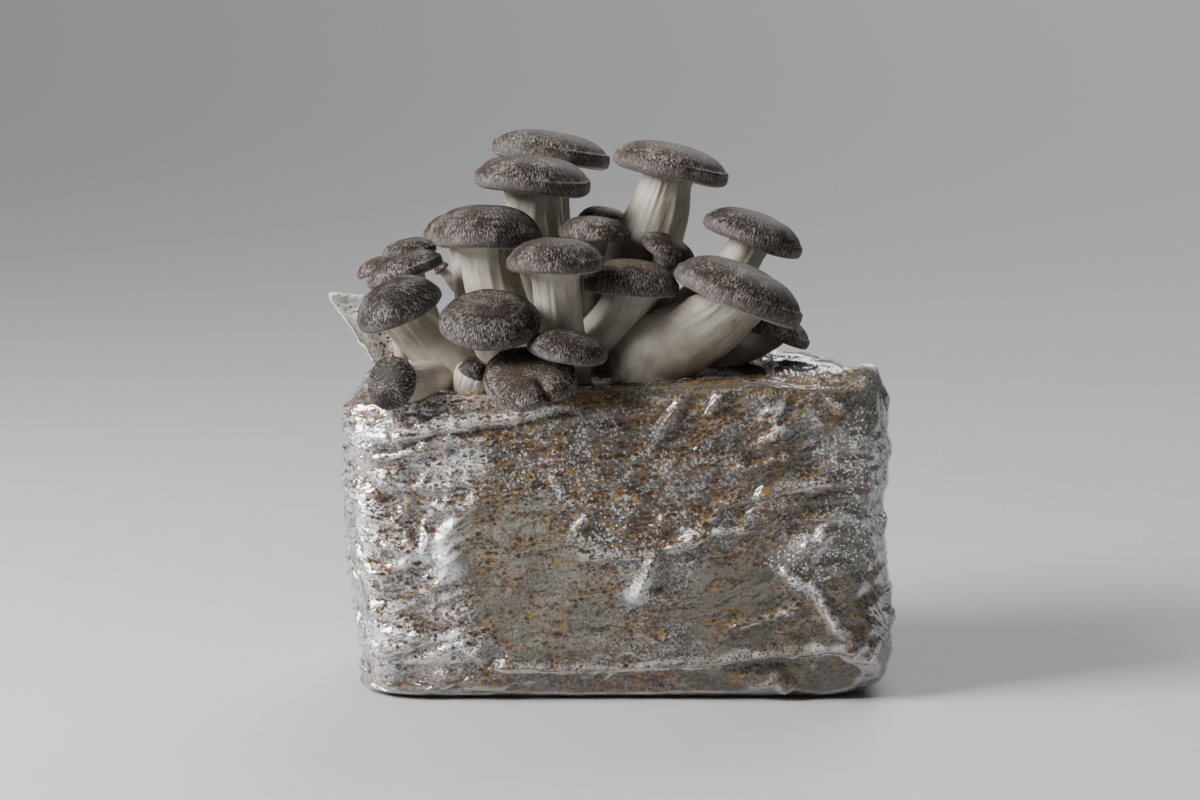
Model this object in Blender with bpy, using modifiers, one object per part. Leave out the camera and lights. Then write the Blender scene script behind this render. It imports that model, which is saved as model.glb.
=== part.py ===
"""Oyster mushroom grow kit: a sawdust block in a clear film bag, with mushrooms growing from its open top.

X runs along the block's long side, Y towards the back and Z up. The origin is on the surface that the
block rests on, under its middle. The tables give millimetres, and every mesh is made in metres.
"""

import math
from collections import namedtuple

import bmesh
import bpy
from mathutils import Vector, noise

MM = 0.001
UP = Vector((0, 0, 1))
GAP = 0.3  # clear space between neighbouring pieces
FOOT_GAP = 0.6  # and under a stem's foot, which turns over as the stem bends

# The block's top rises steadily from the left end of the opening to its right end, then falls away.
TOP_LEFT = 118.0
TOP_RISE = 6.5
TOP_FALL = 6.0
SLOPE_START = -97.5
SLOPE_END = 58.0
FALL_END = 98.0
SLOPE = TOP_RISE / (SLOPE_END - SLOPE_START)
TOP_NORMAL = Vector((-SLOPE, 0, 1)).normalized()

# Sections of the bag from its flat base up: height, left, right, front, back, corner radius.
SIDES = (
    (0, -90, 93, -47, 48, 18),
    (2.5, -98.5, 100, -54, 55, 20),
    (8, -99.5, 104, -57.5, 58, 20),
    (15, -100, 106, -57.5, 58.5, 20),
    (22, -101.5, 107, -59.5, 60, 22),
    (36, -103.5, 107, -60.5, 61, 24),
    (54, -105.5, 104.5, -61, 61.5, 24),
    (74, -106.5, 103, -61, 61.5, 24),
    (92, -107, 105.5, -60.5, 61, 24),
    (104, -106.5, 104.5, -60, 60.5, 22),
    (112, -105, 102.5, -58.5, 59, 20),
    (116.5, -102, 99.5, -56.5, 57, 18),
)
SHOULDERS = (
    (118, -99.5, 95, -54, 53, 16),
    (118, -98.5, 78, -52.5, 47, 14),
)
OPENING = (118, SLOPE_START, SLOPE_END, -51, 41, 12)
BLOCK_TOP = ((118, -62, 26, -28, 16, 8), (118, -34, 0, -10, 2, 4))

# Points along each straight side and round each corner of a section.
LONG_CUTS = 9
SHORT_CUTS = 5
CORNER_CUTS = 2

FILM = 0.8
BLOCK_INSET = FILM + 0.5
RUMPLE = 1.0  # how far the sides of the bag wander in and out
RUMPLE_SIZE = Vector((44, 44, 21))

# The film's cut edge, from the opening's front right corner round by the back to the front: how far
# round the loop, then how far the edge stands right of, behind and above the opening.
CUT_EDGE = (
    (0.00, 0, 0, 0.7),
    (0.10, 2, 0, 2.5),
    (0.20, 6, 2, 5),
    (0.30, 2, 5, 6),
    (0.42, 0, 4, 7),
    (0.47, -3, 4, 18),
    (0.50, -8, 4, 28),
    (0.53, -22, 1, 31),
    (0.56, -17, -7, 26),
    (0.61, -6, -6, 12),
    (0.67, -3, -1, 2),
    (0.75, 0, 0, 0.7),
    (1.00, 0, 0, 0.7),
)
# How the left end of the opening leans in towards the front.
LEFT_LEAN = 12.0

# Pinched corners and the crumpled heap of film at the back right: centre, reach, pull.
PINCHES = (
    ((97, -20, 118), 12, (5, -1, 4)),
    ((-98, -34, 3), 12, (-2.5, -1, 0)),
    ((66, 34, 124), 13, (0, 0, 4)),
    ((86, 10, 120), 14, (0, 0, 3)),
)

# Unit caps, from the top of the dome over the margin to the middle of the underside.
DOME = ((0, 1), (0.42, 0.93), (0.74, 0.68), (0.93, 0.28))
MARGIN = ((1, -0.03), (0.95, -0.15), (0.72, -0.10), (0.52, -0.05), (0, -0.05))
SMALL_DOME = ((0, 1), (0.45, 0.92), (0.82, 0.52))
SMALL_MARGIN = ((1, -0.03), (0.93, -0.15), (0.52, -0.05), (0, -0.05))
BUTTON_MARGIN = ((1, 0), (0.9, -0.13), (0, -0.13))
BIG_CAP = 17.0  # from this radius a cap gets the finer profile
BIG_SIDES = 14
SMALL_SIDES = 10

# Stems: how far they run straight off the block and the cap as a share of their length, the square
# stretch at each end, how much they widen where the gills run down onto them, and their rings.
STEM_REACH = 0.38
SQUARE_END = 2.0
STEM_FLARE = 1.12
STEM_RING = 9.0
MOST_STEM_RINGS = 6

# Each mushroom: the cap's middle, radius and dome height, the way it faces, where its stem stands on
# the block, and the stem's radius at its foot, its waist and under the cap. A seat moves where the stem
# meets its cap, a dent is an angle on the cap and a depth, and a bud that grows from the side of
# another stem has a root and a direction instead of a foot.
Mushroom = namedtuple("Mushroom", "at radius dome faces foot girth seat dent root",
                      defaults=((0, 0, 0), None, None))
MUSHROOMS = {
    "back_top": Mushroom((-27, 54, 204.8), 24.3, 9, (0.14, 0.06, 1), (-18, 29), (8.5, 8, 8.5)),
    "upper_middle": Mushroom((-34, 10, 196.7), 23.5, 10, (0.1, 0, 1), (-24, 12), (8.5, 8, 10)),
    "upper_right": Mushroom((21.5, 22, 201.7), 23.7, 9, (0.22, 0, 1), (4, 20), (14, 11.5, 8.2)),
    "right_back": Mushroom((54.2, 15, 174.5), 20.7, 9.3, (0.36, 0, 1), (28, 12), (6.5, 6.5, 7)),
    "right_big": Mushroom((46.9, -27, 155.4), 26.4, 11.6, (0.42, 0, 1), (9, -27), (12, 13.5, 9.5)),
    "right_low": Mushroom((62, 5, 138.2), 16.2, 6.8, (0.45, 0, 1), (41, 4), (6.2, 6, 5.5)),
    "left_big": Mushroom((-51.5, -16, 177.3), 21.7, 12, (0, 0, 1), (-42, -12), (12, 9.5, 9)),
    "left_behind": Mushroom((-62, 28, 174.6), 16.6, 8.4, (-0.05, 0, 1), (-58, 17), (6, 5.3, 6)),
    "centre": Mushroom((-24.2, -43, 169.3), 18.8, 9.4, (0, 0, 1), (-19, -25), (9, 8.8, 9)),
    "centre_right": Mushroom((5.4, -18, 158), 19, 9.9, (0.07, 0, 1), (-9, -11), (6.8, 6.8, 8.5)),
    "centre_back": Mushroom((-9.2, -3.6, 176.7), 14.4, 7, (0.07, 0, 1), (-8, 4), (3, 2.9, 3.6)),
    "centre_far": Mushroom((-5.5, 31, 179.2), 10.4, 5.4, (0.14, 0, 1), (-7.5, 36), (3, 3, 3.6)),
    "right_small": Mushroom((20.3, -1, 169.5), 12, 5.5, (0.55, -0.2, 1), (19, 6), (3.4, 3.2, 4)),
    "front_big": Mushroom((-48.8, -56, 148.1), 19.5, 9, (0, -0.4, 1), (-43, -33), (7.2, 8, 7.6)),
    "front_right": Mushroom((-19.4, -60, 137.6), 15.3, 7.2, (0.16, -0.1, 1), (-19.8, -41), (4.2, 4, 3.9),
                            seat=(-0.3, 8, 0)),
    "front_dented": Mushroom((-33.3, -67.6, 127.4), 17.8, 5.2, (0.03, -0.65, 1), (-33, -40), (4.4, 3.7, 4),
                             seat=(0, 4.6, 3), dent=(-58, 0.2)),
    "left_dark": Mushroom((-85.3, -25, 149.6), 17.5, 11, (-0.42, -0.18, 1), (-62, -23), (11, 10, 8)),
    "left_low": Mushroom((-86.2, -63, 125.4), 10.5, 5, (-0.45, -0.82, 0.3), (-69, -38.6), (5.6, 4.6, 4.6)),
    "front_button": Mushroom((-56.2, -48, 127.2), 5.4, 5, (-0.07, -0.25, 1), (-56.6, -43.8), (5.8, 5.8, 4)),
    "left_far": Mushroom((-85.1, 40, 165.3), 11.6, 5.8, (-0.21, 0, 1), (-75, 25), (4, 3.8, 4.4)),
    "left_tilted": Mushroom((-86, 8, 161.4), 16.9, 7, (-0.36, 0, 1), (-71, 5), (6.5, 6, 6.6)),
    "left_edge": Mushroom((-98.5, 30, 156.6), 7.6, 4, (-0.45, 0, 1), (-87, 24), (2.8, 2.6, 3)),
    "left_bud": Mushroom((-71, 28, 159.5), 2.8, 2.8, (-0.84, 0, 1), None, (1.6, 1.6, 2),
                         root=((-68.2, 28, 154.6), (-0.9, 0, 0.6))),
    "shade_button": Mushroom((-6.4, -45, 125), 4.6, 4.6, (0, -0.1, 1), (-6.4, -44.6), (3.4, 3.4, 3.6)),
}
PIN = dict(at=(1.6, -44, 127.6), foot=(2.2, -43.4), girth=1.7)
FLAKE = dict(at=(-56.8, -58.6, 120.6), size=(2.2, 1.2, 0.9))

COLOURS = {
    "bag_film": (0.80, 0.80, 0.78, 0.35),
    "mycelium": (0.72, 0.66, 0.56, 1),
    "cap_skin": (0.085, 0.070, 0.062, 1),
    "stem_flesh": (0.62, 0.58, 0.50, 1),
    "grain": (0.75, 0.48, 0.12, 1),
}
ROUGHNESS = {"bag_film": 0.25, "mycelium": 0.75, "cap_skin": 0.6, "stem_flesh": 0.65, "grain": 0.6}


def metres(place):
    return Vector(place) * MM


def clear_scene():
    for item in list(bpy.data.objects):
        bpy.data.objects.remove(item)


def collection_named(name):
    made = bpy.data.collections.new(name)
    bpy.context.scene.collection.children.link(made)
    return made


def materials():
    made = {}
    for name, colour in COLOURS.items():
        material = bpy.data.materials.new(name)
        material.use_nodes = True
        shader = material.node_tree.nodes["Principled BSDF"]
        shader.inputs["Base Color"].default_value = colour
        shader.inputs["Roughness"].default_value = ROUGHNESS[name]
        shader.inputs["Metallic"].default_value = 0.0
        shader.inputs["Alpha"].default_value = colour[3]
        material.diffuse_color = colour
        made[name] = material
    return made


def new_object(name, data, material):
    made = bpy.data.objects.new(name, data)
    data.materials.append(material)
    KIT.objects.link(made)
    return made


def settled(item):
    """The object again as a plain mesh of its evaluated shape, welded, in the same place."""
    bpy.context.view_layer.update()
    evaluated = item.evaluated_get(bpy.context.evaluated_depsgraph_get())
    mesh = bpy.data.meshes.new_from_object(evaluated)
    name, material, world = item.name, item.data.materials[0], item.matrix_world.copy()
    bpy.data.objects.remove(item)
    shape = bmesh.new()
    shape.from_mesh(mesh)
    bmesh.ops.remove_doubles(shape, verts=shape.verts, dist=0.01 * MM)
    bmesh.ops.recalc_face_normals(shape, faces=shape.faces)
    shape.to_mesh(mesh)
    shape.free()
    mesh.materials.clear()
    made = new_object(name, mesh, material)
    made.matrix_world = world
    return made


def top_height(x):
    """Height of the block's top over a point of its long side."""
    rising = (x - SLOPE_START) / (SLOPE_END - SLOPE_START)
    falling = (x - SLOPE_END) / (FALL_END - SLOPE_END)
    return TOP_LEFT + TOP_RISE * min(max(rising, 0), 1) - TOP_FALL * min(max(falling, 0), 1)


def block_point(place):
    """The point of the block's own top, under the film's level, above a place given as (x, y)."""
    return Vector((*place, top_height(place[0]))) - TOP_NORMAL * BLOCK_INSET


def outline(left, right, front, back, radius):
    """Points round a rounded rectangle with the way out at each, from the front right corner by the back."""
    centres = ((right - radius, front + radius), (right - radius, back - radius),
               (left + radius, back - radius), (left + radius, front + radius))
    cuts = (SHORT_CUTS, LONG_CUTS, SHORT_CUTS, LONG_CUTS)
    points = []
    for corner, (x, y) in enumerate(centres):
        for step in range(CORNER_CUTS + 1):
            turn = math.radians(90 * (corner - 1) + 90 * step / CORNER_CUTS)
            out = Vector((math.cos(turn), math.sin(turn), 0))
            points.append((Vector((x, y, 0)) + out * radius, out))
        start = points[-1][0]
        next_x, next_y = centres[(corner + 1) % 4]
        end = Vector((next_x, next_y, 0)) + out * radius
        points += [(start.lerp(end, k / cuts[corner]), out) for k in range(1, cuts[corner])]
    return points


def pinched(place):
    moved = place.copy()
    for centre, reach, pull in PINCHES:
        near = (place - Vector(centre)).length / reach
        moved += Vector(pull) * math.exp(-near * near)
    return moved


def side_section(height, left, right, front, back, radius):
    """A section of the bag's sides: it wanders in and out, and its top end follows the block's slope."""
    points = []
    settling = min(height / 20, 1) * min((TOP_LEFT - height) / 8, 1)
    for place, out in outline(left, right, front, back, radius):
        place.z = height * top_height(place.x) / TOP_LEFT
        wander = noise.noise(Vector(p / s for p, s in zip(place, RUMPLE_SIZE)))
        points.append(pinched(place + out * RUMPLE * settling * wander * 2))
    return points


def top_section(height, left, right, front, back, radius, lean=0.0):
    """A section lying on the block's top, its left end leaning in towards the front by the given amount."""
    points = []
    for place, _ in outline(left, right, front, back, radius):
        leftness = min(max((place.x - right) / (left - right), 0), 1) ** 3
        place.x += lean * leftness * (back - place.y) / (back - front)
        place.z = height - TOP_LEFT + top_height(place.x)
        points.append(place)
    return points


def cut_edge(around):
    """How far the film's cut edge stands off the opening, at a share of the way round it."""
    for (before, *low), (after, *high) in zip(CUT_EDGE, CUT_EDGE[1:]):
        if around <= after:
            share = (around - before) / (after - before)
            return Vector(low).lerp(Vector(high), share * share * (3 - 2 * share))
    return Vector(CUT_EDGE[-1][1:])


def collar_sections():
    opening = top_section(*OPENING, lean=LEFT_LEAN)
    stands = [cut_edge(index / len(opening)) for index in range(len(opening))]
    for share, flare in ((0.5, 0.3), (1, 1)):
        yield [place + Vector((off.x * flare, off.y * flare, off.z * share))
               for place, off in zip(opening, stands)]


def film_sections():
    sections = [side_section(*row) for row in SIDES]
    sections += [[pinched(place) for place in top_section(*row)] for row in SHOULDERS]
    sections.append(top_section(*OPENING, lean=LEFT_LEAN))
    return sections + list(collar_sections())


def block_sections():
    sections = [side_section(*row) for row in SIDES]
    sections += [top_section(*row) for row in SHOULDERS]
    sections.append(top_section(*OPENING, lean=LEFT_LEAN))
    return sections + [top_section(*row) for row in BLOCK_TOP]


def loft(sections, closed):
    """A skin through the sections, with a flat base, and a flat lid if it is closed."""
    skin = bmesh.new()
    rings = [[skin.verts.new(metres(place)) for place in section] for section in sections]
    for low, high in zip(rings, rings[1:]):
        for index in range(len(low)):
            after = (index + 1) % len(low)
            skin.faces.new((low[index], low[after], high[after], high[index]))
    skin.faces.new(reversed(rings[0]))
    if closed:
        skin.faces.new(rings[-1])
    skin.normal_update()
    return skin


def mesh_from(name, shape):
    mesh = bpy.data.meshes.new(name)
    shape.to_mesh(mesh)
    shape.free()
    mesh.shade_smooth()
    mesh.set_sharp_from_angle(angle=math.radians(50))
    return mesh


def grow_bag():
    bag = new_object("grow_bag", mesh_from("grow_bag", loft(film_sections(), closed=False)), FINISH["bag_film"])
    wall = bag.modifiers.new("film", "SOLIDIFY")
    wall.thickness = FILM * MM
    wall.offset = -1
    wall.use_rim = True
    return bag


def substrate_block():
    shape = loft(block_sections(), closed=True)
    inward = {vert: vert.normal * vert.calc_shell_factor() * -BLOCK_INSET * MM for vert in shape.verts}
    for vert, move in inward.items():
        vert.co += move
    return new_object("substrate_block", mesh_from("substrate_block", shape), FINISH["mycelium"])


def is_button(grown):
    """A button's cap is still as high as it is wide from its middle, and closed on its stem."""
    return grown.radius < grown.dome * 1.2


def cap_profile(grown):
    """The cap's half outline, as (distance from its axis, height over its middle)."""
    big = grown.radius >= BIG_CAP
    dome = DOME if big else SMALL_DOME
    margin = MARGIN if big else BUTTON_MARGIN if is_button(grown) else SMALL_MARGIN
    return ([(out * grown.radius, up * grown.dome) for out, up in dome]
            + [(out * grown.radius, up * grown.radius) for out, up in margin])


def dent(mesh, radius, angle, depth):
    """Draws the margin in at one side, as on a kidney-shaped cap."""
    toward = Vector((math.cos(math.radians(angle)), math.sin(math.radians(angle)), 0))
    for vert in mesh.vertices:
        level = Vector((vert.co.x, vert.co.y, 0))
        if level.length > 0:
            facing = max(level.normalized().dot(toward), 0) ** 6
            vert.co -= level * depth * facing * level.length / (radius * MM)


def cap(name, grown):
    profile = bmesh.new()
    verts = [profile.verts.new(metres((out, 0, up))) for out, up in cap_profile(grown)]
    for before, after in zip(verts, verts[1:]):
        profile.edges.new((before, after))
    mesh = bpy.data.meshes.new("cap_" + name)
    profile.to_mesh(mesh)
    profile.free()
    made = new_object("cap_" + name, mesh, FINISH["cap_skin"])
    turn = made.modifiers.new("turn", "SCREW")
    turn.axis = "Z"
    turn.steps = turn.render_steps = BIG_SIDES if grown.radius >= BIG_CAP else SMALL_SIDES
    turn.use_merge_vertices = True
    turn.merge_threshold = 0.01 * MM
    made = settled(made)
    if grown.dent:
        dent(made.data, grown.radius, *grown.dent)
    made.data.shade_smooth()
    made.rotation_mode = "QUATERNION"
    made.rotation_quaternion = UP.rotation_difference(Vector(grown.faces))
    made.location = metres(grown.at)
    return made


def bezier(handles, share):
    a, b, c, d = handles
    rest = 1 - share
    return a * rest ** 3 + b * 3 * rest ** 2 * share + c * 3 * rest * share ** 2 + d * share ** 3


def stem_route(grown):
    """The stem's points with their radii, square off what it grows from and square to its cap."""
    axis = Vector(grown.faces).normalized()
    if grown.root:
        foot, away = (Vector(part) for part in grown.root)
    else:
        foot, away = block_point(grown.foot), TOP_NORMAL
    away = away.normalized()
    foot += away * FOOT_GAP
    underside = (BUTTON_MARGIN if is_button(grown) else MARGIN)[-1][1]
    seat = Vector(grown.at) + axis * (underside * grown.radius - GAP)
    seat += Vector(grown.seat)
    reach = (seat - foot).length * STEM_REACH
    handles = (foot, foot + away * reach, seat - axis * reach, seat)
    low, waist, high = grown.girth
    square = min(SQUARE_END, reach / 3)
    cuts = min(max(round((seat - foot).length / STEM_RING), 2), MOST_STEM_RINGS)
    route = [(foot, low), (foot + away * square, low)]
    for step in range(1, cuts):
        share = step / cuts
        girth = low * (1 - share) ** 2 + waist * 2 * share * (1 - share) + high * share ** 2
        route.append((bezier(handles, share), girth))
    return route + [(seat - axis * square, high), (seat, high * STEM_FLARE)]


def tube(name, route, material):
    curve = bpy.data.curves.new(name, "CURVE")
    curve.dimensions = "3D"
    curve.bevel_depth = MM
    curve.bevel_resolution = 2
    curve.use_fill_caps = True
    spline = curve.splines.new("POLY")
    spline.points.add(len(route) - 1)
    for point, (place, girth) in zip(spline.points, route):
        point.co = (*metres(place), 1)
        point.radius = girth
    return settled(new_object(name, curve, material))


def stem(name, grown):
    made = tube("stem_" + name, stem_route(grown), FINISH["stem_flesh"])
    made.data.shade_smooth()


def pin():
    foot = block_point(PIN["foot"]) + TOP_NORMAL * FOOT_GAP
    tip = Vector(PIN["at"])
    girth = PIN["girth"]
    route = [(foot, girth), (foot.lerp(tip, 0.6), girth * 0.85), (foot.lerp(tip, 0.9), girth * 0.7),
             (tip, girth * 0.3)]
    return tube("pin_shade", route, FINISH["stem_flesh"])


def flake():
    shape = bmesh.new()
    bmesh.ops.create_icosphere(shape, subdivisions=1, radius=MM)
    bmesh.ops.scale(shape, vec=FLAKE["size"], verts=shape.verts)
    bmesh.ops.translate(shape, vec=metres(FLAKE["at"]), verts=shape.verts)
    return new_object("grain_flake", mesh_from("grain_flake", shape), FINISH["grain"])


clear_scene()
KIT = collection_named("oyster_mushroom_grow_kit")
FINISH = materials()
grow_bag()
substrate_block()
for mushroom, measures in MUSHROOMS.items():
    cap(mushroom, measures)
    stem(mushroom, measures)
pin()
flake()
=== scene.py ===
# %% [markdown]
# # An oyster mushroom grow kit
#
# A kit like this is a brick of damp sawdust that a fungus has grown right through, still in the clear
# bag it was grown in. The bag is slit open at the top, and the mushrooms push out of the slit in one
# crowded bunch. This notebook dresses the plain solids of such a kit: it gives the film its wrinkles,
# the block its white and brown growth, and each mushroom its streaky cap, its gills and its ribbed stem.
# It begins with the solids, which fix where everything is and how big it may be.

import math

import bmesh
import bpy
import numpy as np
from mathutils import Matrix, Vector, noise


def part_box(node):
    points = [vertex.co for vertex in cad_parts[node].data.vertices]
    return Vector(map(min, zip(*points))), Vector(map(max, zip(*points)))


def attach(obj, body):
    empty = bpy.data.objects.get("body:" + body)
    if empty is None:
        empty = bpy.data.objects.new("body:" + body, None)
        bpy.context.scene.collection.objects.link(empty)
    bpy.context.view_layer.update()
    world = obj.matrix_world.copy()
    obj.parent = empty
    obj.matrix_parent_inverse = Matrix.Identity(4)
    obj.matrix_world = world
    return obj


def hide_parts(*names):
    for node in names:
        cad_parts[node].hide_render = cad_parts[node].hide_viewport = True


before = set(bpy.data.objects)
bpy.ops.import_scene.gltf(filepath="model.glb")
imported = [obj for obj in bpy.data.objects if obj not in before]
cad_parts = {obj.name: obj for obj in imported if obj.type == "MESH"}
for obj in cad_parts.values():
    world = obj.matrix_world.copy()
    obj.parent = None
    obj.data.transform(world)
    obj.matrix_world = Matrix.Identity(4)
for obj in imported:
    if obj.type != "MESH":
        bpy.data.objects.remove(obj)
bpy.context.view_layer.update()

# %% [markdown]
# ## Looking at it as the photographer did
#
# The same camera comes first, because every later step is judged through it. A pale floor reaches past
# the top of the picture. A strong soft lamp stands close at the left, so that the light falls off
# towards the right as in the photograph. A weak one at the right keeps the shaded sides of the stems
# readable, and a soft light from far behind brightens the floor and draws an edge on the caps.

# %% Camera
MM = 0.001
EYE = Vector((-7, -1317, 295)) * MM
LOOKS_DOWN = 8

camera_data = bpy.data.cameras.new("camera")
camera_data.lens = 100
camera_data.sensor_width = 36
camera = bpy.data.objects.new("camera", camera_data)
camera.location = EYE
camera.rotation_euler = (math.radians(90 - LOOKS_DOWN), 0, 0)
bpy.context.scene.collection.objects.link(camera)
bpy.context.scene.camera = camera
print("camera at", tuple(round(value, 3) for value in EYE), "m")

# %% Lamps
KIT_MIDDLE = Vector((0, 0, 0.11))
LAMPS = {
    "key": ((-1.02, -0.40, 0.82), 0.6, 40),
    "fill": ((1.3, -0.9, 0.5), 1.2, 1.2),
}
for lamp_name, (stands, side, power) in LAMPS.items():
    lamp_data = bpy.data.lights.new(lamp_name, "AREA")
    lamp_data.size = side
    lamp_data.energy = power
    lamp = bpy.data.objects.new(lamp_name, lamp_data)
    lamp.location = stands
    lamp.rotation_euler = (Vector(stands) - KIT_MIDDLE).to_track_quat("Z", "Y").to_euler()
    bpy.context.scene.collection.objects.link(lamp)

sun_data = bpy.data.lights.new("far", "SUN")
sun_data.energy = 1.6
sun_data.angle = math.radians(40)
sun = bpy.data.objects.new("far", sun_data)
sun.rotation_euler = Vector((0.3, 0.9, 0.75)).to_track_quat("Z", "Y").to_euler()
bpy.context.scene.collection.objects.link(sun)

room = bpy.data.worlds.new("room")
room.use_nodes = True
room.node_tree.nodes["Background"].inputs["Color"].default_value = (0.80, 0.82, 0.86, 1)
room.node_tree.nodes["Background"].inputs["Strength"].default_value = 0.10
bpy.context.scene.world = room
print("lamps:", ", ".join(LAMPS))

# %% [markdown]
# ## Writing a finish as a sum
#
# Blender's materials are graphs of nodes. A long graph is hard to read as code, so a `Wire` stands for
# one socket and knows how to be added, multiplied and compared: each sum adds the Math node that does
# it. Every other kind of node comes from its one method `node`, which sets the node's choices first and
# then plugs in its values. Colours and directions go through Mix and Vector Math nodes, which keep all
# three of their numbers.

# %% The wire
class Wire:
    """A socket in a material's tree."""

    def __init__(self, tree, socket):
        self.tree, self.socket = tree, socket

    def node(self, kind, choices, inputs, out=0):
        made = self.tree.nodes.new("ShaderNode" + kind)
        for choice, value in choices.items():
            if choice == "stops":
                while len(made.color_ramp.elements) < len(value):
                    made.color_ramp.elements.new(1)
                for element, (position, colour) in zip(made.color_ramp.elements, value):
                    element.position = position
                    element.color = (*colour, 1) if len(colour) == 3 else colour
            else:
                setattr(made, choice, value)
        for key, value in inputs.items():
            if isinstance(value, Wire):
                self.tree.links.new(value.socket, made.inputs[key])
            else:
                made.inputs[key].default_value = value
        return Wire(self.tree, made.outputs[out])

    def maths(self, operation, *values, clamp=False):
        choices = {"operation": operation, "use_clamp": clamp}
        return self.node("Math", choices, dict(enumerate(values)))

    def __add__(self, other):
        return self.maths("ADD", self, other)

    def __sub__(self, other):
        return self.maths("SUBTRACT", self, other)

    def __rsub__(self, other):
        return self.maths("SUBTRACT", other, self)

    def __mul__(self, other):
        return self.maths("MULTIPLY", self, other)

    def __truediv__(self, other):
        return self.maths("DIVIDE", self, other)

    def __pow__(self, other):
        return self.maths("POWER", self, other)

    __radd__, __rmul__ = __add__, __mul__

    def step(self, low, high):
        """0 up to low, 1 from high, and a smooth rise between them."""
        choices = {"interpolation_type": "SMOOTHSTEP"}
        return self.node("MapRange", choices, {0: self, 1: low, 2: high})

    def moved(self, operation, other):
        """The wire as a vector, with another vector put to it."""
        return self.node("VectorMath", {"operation": operation}, {0: self, 1: other})

    def size(self):
        return self.maths("ABSOLUTE", self)

    def at_most(self, limit):
        return self.maths("MINIMUM", self, limit)

    def part(self, axis):
        return self.node("SeparateXYZ", {}, {0: self}, axis)

    def tint(self, share, colour):
        """The wire as a colour, with a share of another colour over it."""
        return self.node("Mix", {"data_type": "RGBA"}, {0: share, 6: self, 7: colour}, 2)

    def grain(self, scale, detail=2.0, rough=0.5, warp=0.0, kind="FBM", out=0):
        """Cloudy noise at this place; scale is lumps for each unit of the place."""
        inputs = {"Vector": self, "Scale": scale, "Detail": detail, "Roughness": rough, "Distortion": warp}
        return self.node("TexNoise", {"noise_type": kind}, inputs, out)

    def cells(self, scale):
        """How far the nearest of many scattered points is, and that point's own random colour."""
        away = self.node("TexVoronoi", {}, {"Vector": self, "Scale": scale})
        return away, Wire(self.tree, away.socket.node.outputs["Color"])


# %% A blank finish
def blank_finish(name):
    """A material with one Principled shader, as (material, shader, a wire to start sums from)."""
    material = bpy.data.materials.new(name)
    material.use_nodes = True
    shader = material.node_tree.nodes["Principled BSDF"]
    start = Wire(material.node_tree, None)
    return material, shader, start


def plug(shader, **links):
    for key, value in links.items():
        socket = shader.inputs[key.replace("_", " ").title()]
        if isinstance(value, Wire):
            value.tree.links.new(value.socket, socket)
        else:
            socket.default_value = value


def millimetres(start):
    """Where a point of the surface is, in millimetres."""
    place = start.node("TexCoord", {}, {}, "Object")
    return place.node("VectorMath", {"operation": "SCALE"}, {0: place, "Scale": 1000})


def shade(share, low, high):
    """A colour between two colours, each three numbers."""
    return share.node("Mix", {"data_type": "RGBA"}, {0: share, 6: (*low, 1), 7: (*high, 1)}, 2)


def relief(height, depth, strength=1.0):
    """A Bump node for a height from 0 to 1 that stands for this many millimetres."""
    return height.node("Bump", {}, {"Height": height, "Distance": depth * MM, "Strength": strength})


print("the wire is ready")

# %% [markdown]
# ## The floor
#
# One large disc does, with the faintest mottling so that it doesn't look like fog. It belongs to the
# stage.

# %% Floor
FLOOR_REACH = 20

floor_mesh = bmesh.new()
bmesh.ops.create_circle(floor_mesh, cap_ends=True, segments=96, radius=FLOOR_REACH)
floor_data = bpy.data.meshes.new("floor")
floor_mesh.to_mesh(floor_data)
floor_mesh.free()
floor = bpy.data.objects.new("floor", floor_data)
bpy.context.scene.collection.objects.link(floor)

floor_finish, floor_shader, start = blank_finish("floor_paint")
mottle = millimetres(start).grain(0.05, 3)
plug(floor_shader, base_color=shade(mottle, (0.56, 0.56, 0.57), (0.60, 0.60, 0.61)), roughness=0.6)
floor_data.materials.append(floor_finish)
print("floor", FLOOR_REACH, "m across its radius")

# %% [markdown]
# ## Rolling film round the block
#
# Grow bags start as a flat tube of thin film. The film here starts flat too: one fine grid, whose rows
# become level rings round the block and whose columns run from the base, up the sides, in over the
# shoulders and up the cut edge. The rings repeat the sections of the solid bag, so the fine skin and the
# solid agree, and only the number of points differs. Numpy holds the grid while it is shaped, as a table
# of places with one row for each ring.

# %% The sections of the bag
TOP_LEFT, TOP_RISE, TOP_FALL = 118.0, 6.5, 6.0
SLOPE_START, SLOPE_END, FALL_END = -97.5, 58.0, 98.0

# Each is a height, then left, right, front, back and corner radius, in millimetres.
SIDES = (
    (0, -90, 93, -47, 48, 18),
    (2.5, -98.5, 100, -54, 55, 20),
    (8, -99.5, 104, -57.5, 58, 20),
    (15, -100, 106, -57.5, 58.5, 20),
    (22, -101.5, 107, -59.5, 60, 22),
    (36, -103.5, 107, -60.5, 61, 24),
    (54, -105.5, 104.5, -61, 61.5, 24),
    (74, -106.5, 103, -61, 61.5, 24),
    (92, -107, 105.5, -60.5, 61, 24),
    (104, -106.5, 104.5, -60, 60.5, 22),
    (112, -105, 102.5, -58.5, 59, 20),
    (116.5, -102, 99.5, -56.5, 57, 18),
)
SHOULDERS = ((118, -99.5, 95, -54, 53, 16), (118, -98.5, 78, -52.5, 47, 14))
OPENING = (118, SLOPE_START, SLOPE_END, -51, 41, 12)
BLOCK_TOP = ((118, -62, 26, -28, 16, 8), (118, -34, 0, -10, 2, 4))
LEFT_LEAN = 12.0

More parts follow.
